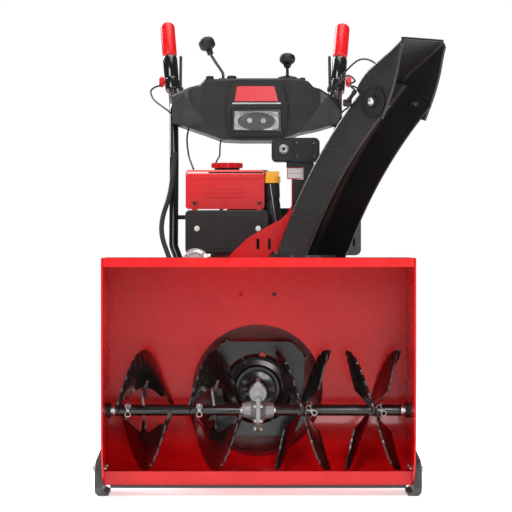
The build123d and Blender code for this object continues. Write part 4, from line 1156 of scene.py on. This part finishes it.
def add_engine_cover_details():
    """Brow, latch tabs with screws, and ribs on the red cover."""
    low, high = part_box("engine_cover")
    front = low.y
    add_box("cover_brow", (low.x + 0.006, front - 0.002, high.z - 0.026),
            (high.x - 0.006, front + 0.004, high.z - 0.014), RED_PLASTIC, "machine", 0.0018)
    for x in (low.x + 0.024, high.x - 0.014):
        add_box(f"cover_latch_{x:.2f}", (x - 0.008, front - 0.005, low.z - 0.006),
                (x + 0.008, front + 0.003, low.z + 0.028), RED_PLASTIC, "machine", 0.002)
        add_turned(f"cover_screw_{x:.2f}", (x, front - 0.0045, low.z + 0.016),
                   (x, front - 0.0075, low.z + 0.016),
                   [(0, 0.001), (0, 0.0052), (0.7, 0.0052), (1, 0.0040), (1, 0.0018), (0.6, 0.0016)],
                   BLACK_PAINT, "machine", 24)
    rib = front - 0.0006
    for number in range(3):
        z = low.z + 0.030 + 0.0115 * number
        add_box(f"cover_rib_{number}", (low.x + 0.052, rib - 0.0008, z),
                (high.x - 0.052, rib + 0.002, z + 0.004), RED_PLASTIC, "machine", 0.001)


def add_belt_cover_details():
    """The raised belt bulge, seam and bright screws of the black cover."""
    low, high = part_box("belt_cover")
    front = low.y + 0.006
    add_box("belt_cover_seam", (low.x + 0.010, front - 0.0012, high.z - 0.016),
            (high.x - 0.008, front + 0.002, high.z - 0.012), BLACK_PAINT, "machine", 0.0008)
    bulge = []
    for i in range(13):
        a = math.pi * i / 12
        bulge.append((-0.078 + 0.046 * math.cos(a), 0.664 + 0.026 * math.sin(a)))
    bulge += [(-0.132, 0.612), (-0.024, 0.612)]
    add_plate("belt_cover_bulge", bulge, front_place(front - 0.003), 0.005, BLACK_PLASTIC,
              "machine", 0.002)
    for x in (-0.159, 0.003):
        add_bolt(f"belt_cover_bolt_{x}", (x, front - 0.006, 0.667), (0, -1, 0), 0.0058, 0.0055,
                 ZINC, "machine")


def add_oil_filler_details():
    """Sleeve of the oil filler tube with a thin bright zinc line down its front as a painted
    highlight, and the cap's grips.
    """
    low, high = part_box("dipstick_cap")
    x = (low.x + high.x) / 2
    y = (low.y + high.y) / 2
    foot = 0.655
    add_turned("filler_sleeve", (x + 0.004, y, foot), (x, y, low.z - 0.0006),
               [(0, 0.0095), (0, 0.0185), (0.10, 0.0195), (0.60, 0.0190), (0.62, 0.0175),
                (0.70, 0.0175), (0.72, 0.0190), (1, 0.0185), (1, 0.0095)],
               BLACK_PLASTIC, "machine", 40)
    # Painted highlight: a thin bright zinc line running down the front of the black filler sleeve.
    add_tube("filler_painted_highlight", [(x - 0.006, y - 0.022, low.z - 0.004), (x + 0.001, y - 0.0225, 0.735),
                             (x + 0.010, y - 0.022, foot + 0.02)], 0.0012, ZINC, "machine", 10)
    for i in range(18):
        a = 2 * math.pi * i / 18
        out = Vector((math.cos(a), math.sin(a), 0))
        centre = Vector((x, y, low.z)) + out * 0.0197
        add_turned(f"cap_rib_{i}", centre + Vector((0, 0, 0.003)), centre + Vector((0, 0, 0.0145)),
                   pin_profile(0.0015, 0.0004), YELLOW, "dipstick_cap", 8)


def add_starter_boss():
    """Steps, web and bolts of the bright boss at the engine's lower left."""
    x, z = -0.163, 0.576
    y = -0.104
    add_turned("boss_face", (x, y, z), (x, y - 0.009, z),
               [(0, 0.001), (0, 0.0365), (0.35, 0.0355), (0.42, 0.0290), (0.30, 0.0280),
                (0.30, 0.0225), (1.0, 0.0215), (1.0, 0.0120), (0.7, 0.0110), (0.7, 0.001)],
               ZINC, "machine", 56, 25)
    for i in range(3):
        a = math.radians(50 + 120 * i)
        spot = (x + 0.0320 * math.cos(a), y - 0.0022, z + 0.0320 * math.sin(a))
        add_bolt(f"boss_bolt_{i}", spot, (0, -1, 0), 0.0040, 0.0050, ZINC, "machine")


def add_control_head_details():
    """Ring bolt, recessed window, screws and the light-grey block under the head."""
    front = -0.156
    add_turned("head_ring", (0.070, front - 0.0072, 0.876), (0.070, front - 0.0165, 0.876),
               [(0, 0.001), (0, 0.0125), (0.25, 0.0125), (0.30, 0.0105), (0.9, 0.0095),
                (1.0, 0.0085), (1.0, 0.0052), (0.6, 0.0048), (0.6, 0.001)], STEEL, "machine", 36)
    window = [(0.052, 0.8465), (0.090, 0.8465), (0.090, 0.8595), (0.076, 0.8625), (0.052, 0.8595)]
    add_plate("head_window", window, front_place(front - 0.0022), 0.003, GLOSS_BLACK, "machine",
              0.001)
    for x, z in ((0.104, 0.893), (0.150, 0.893), (0.150, 0.858), (0.104, 0.858)):
        add_turned(f"head_screw_{x}_{z}", (x, front, z), (x, front - 0.003, z),
                   [(0, 0.001), (0, 0.0050), (0.7, 0.0048), (1, 0.0036), (1, 0.0018),
                    (0.5, 0.0015)], BLACK_PAINT, "machine", 24)
    add_box("coupler_cover", (0.0793, -0.1424, 0.7977), (0.1207, -0.1050, 0.8279), LIGHT_GREY,
            "machine", 0.002)
    add_box("coupler_line", (0.0792, -0.1427, 0.8120), (0.1208, -0.1400, 0.8134), BLACK_PLASTIC,
            "machine", 0.0004)


def add_fuel_cap_details():
    """Finger ribs round the fuel cap."""
    low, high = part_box("fuel_cap")
    centre = (low + high) / 2
    radius = (high.x - low.x) / 2
    for i in range(28):
        a = 2 * math.pi * i / 28
        spot = centre + Vector((math.cos(a), math.sin(a), 0)) * (radius - 0.0004)
        add_turned(f"fuel_rib_{i}", (spot.x, spot.y, low.z + 0.003), (spot.x, spot.y, high.z - 0.003),
                   pin_profile(0.0014, 0.0004), RED_PLASTIC, "fuel_cap", 8)


add_engine_cover_details()
add_belt_cover_details()
add_oil_filler_details()
add_starter_boss()
add_control_head_details()
add_fuel_cap_details()

# ------------------------------------------------------------------ camera, light, floor


def add_area(name, place, target, size, power):
    """A square soft lamp, aimed at a target."""
    lamp = bpy.data.lights.new(name, "AREA")
    lamp.size = size
    lamp.energy = power
    obj = add_object(name, lamp)
    obj.location = place
    obj.rotation_euler = (Vector(target) - Vector(place)).to_track_quat("-Z", "Y").to_euler()


def add_studio():
    """A pale floor, soft lamps and an even pale surround that is dimmer in reflections."""
    surround, reflected, backdrop = 0.55, 0.10, 1.0
    world = bpy.data.worlds.new("studio")
    bpy.context.scene.world = world
    world.use_nodes = True
    background = world.node_tree.nodes["Background"]
    background.inputs["Color"].default_value = (1, 1, 1, 1)
    path = world.node_tree.nodes.new("ShaderNodeLightPath")
    level = world.node_tree.nodes.new("ShaderNodeMapRange")
    level.inputs["To Min"].default_value = surround
    level.inputs["To Max"].default_value = reflected
    world.node_tree.links.new(path.outputs["Is Glossy Ray"], level.inputs["Value"])
    seen = world.node_tree.nodes.new("ShaderNodeMapRange")
    seen.inputs["To Max"].default_value = backdrop
    world.node_tree.links.new(path.outputs["Is Camera Ray"], seen.inputs["Value"])
    world.node_tree.links.new(level.outputs["Result"], seen.inputs["To Min"])
    world.node_tree.links.new(seen.outputs["Result"], background.inputs["Strength"])
    add_area("key", (-2.4, -3.8, 3.8), (0, 0, 0.5), 2.0, 120)
    add_area("fill", (3.4, -3.2, 2.4), (0, 0, 0.6), 1.8, 36)
    add_area("top", (0.2, 0.4, 3.8), (0, 0, 0.4), 2.6, 75)
    add_area("front", (0.9, -5.2, 1.9), (0, 0, 0.35), 1.5, 62)
    add_area("rim", (-2.2, 3.0, 2.6), (0, 0, 0.8), 1.6, 80)
    bpy.context.scene.view_settings.view_transform = "Standard"
    made, tree, shader = new_material("floor")
    shade = add_noise(tree, 2.0)
    colour = add_ramp(tree, shade.outputs["Fac"], grey(0.93), grey(0.95))
    tree.links.new(colour.outputs["Color"], shader.inputs["Base Color"])
    shader.inputs["Roughness"].default_value = 0.9
    tree.links.new(colour.outputs["Color"], shader.inputs["Emission Color"])
    shader.inputs["Emission Strength"].default_value = 0.6
    reach = 40.0
    drop = -0.0005
    corners = ((-1, -1), (1, -1), (1, 1), (-1, 1))
    mesh = bpy.data.meshes.new("floor")
    mesh.from_pydata([(reach * x, reach * y, drop) for x, y in corners], [], [(0, 1, 2, 3)])
    floor = add_object("floor", mesh)
    set_material(floor, made)


def add_camera():
    """A long lens, level with the housing top and a little to the left."""
    lens = bpy.data.cameras.new("camera")
    lens.lens = 201.7
    lens.sensor_width = 36
    lens.shift_x = 0.035
    lens.shift_y = -0.0234
    lens.clip_end = 80
    camera = add_object("camera", lens)
    camera.location = (-0.050, -7.71, 0.626)
    camera.rotation_euler = (math.radians(90), 0, 0)
    bpy.context.scene.camera = camera


add_studio()
add_camera()
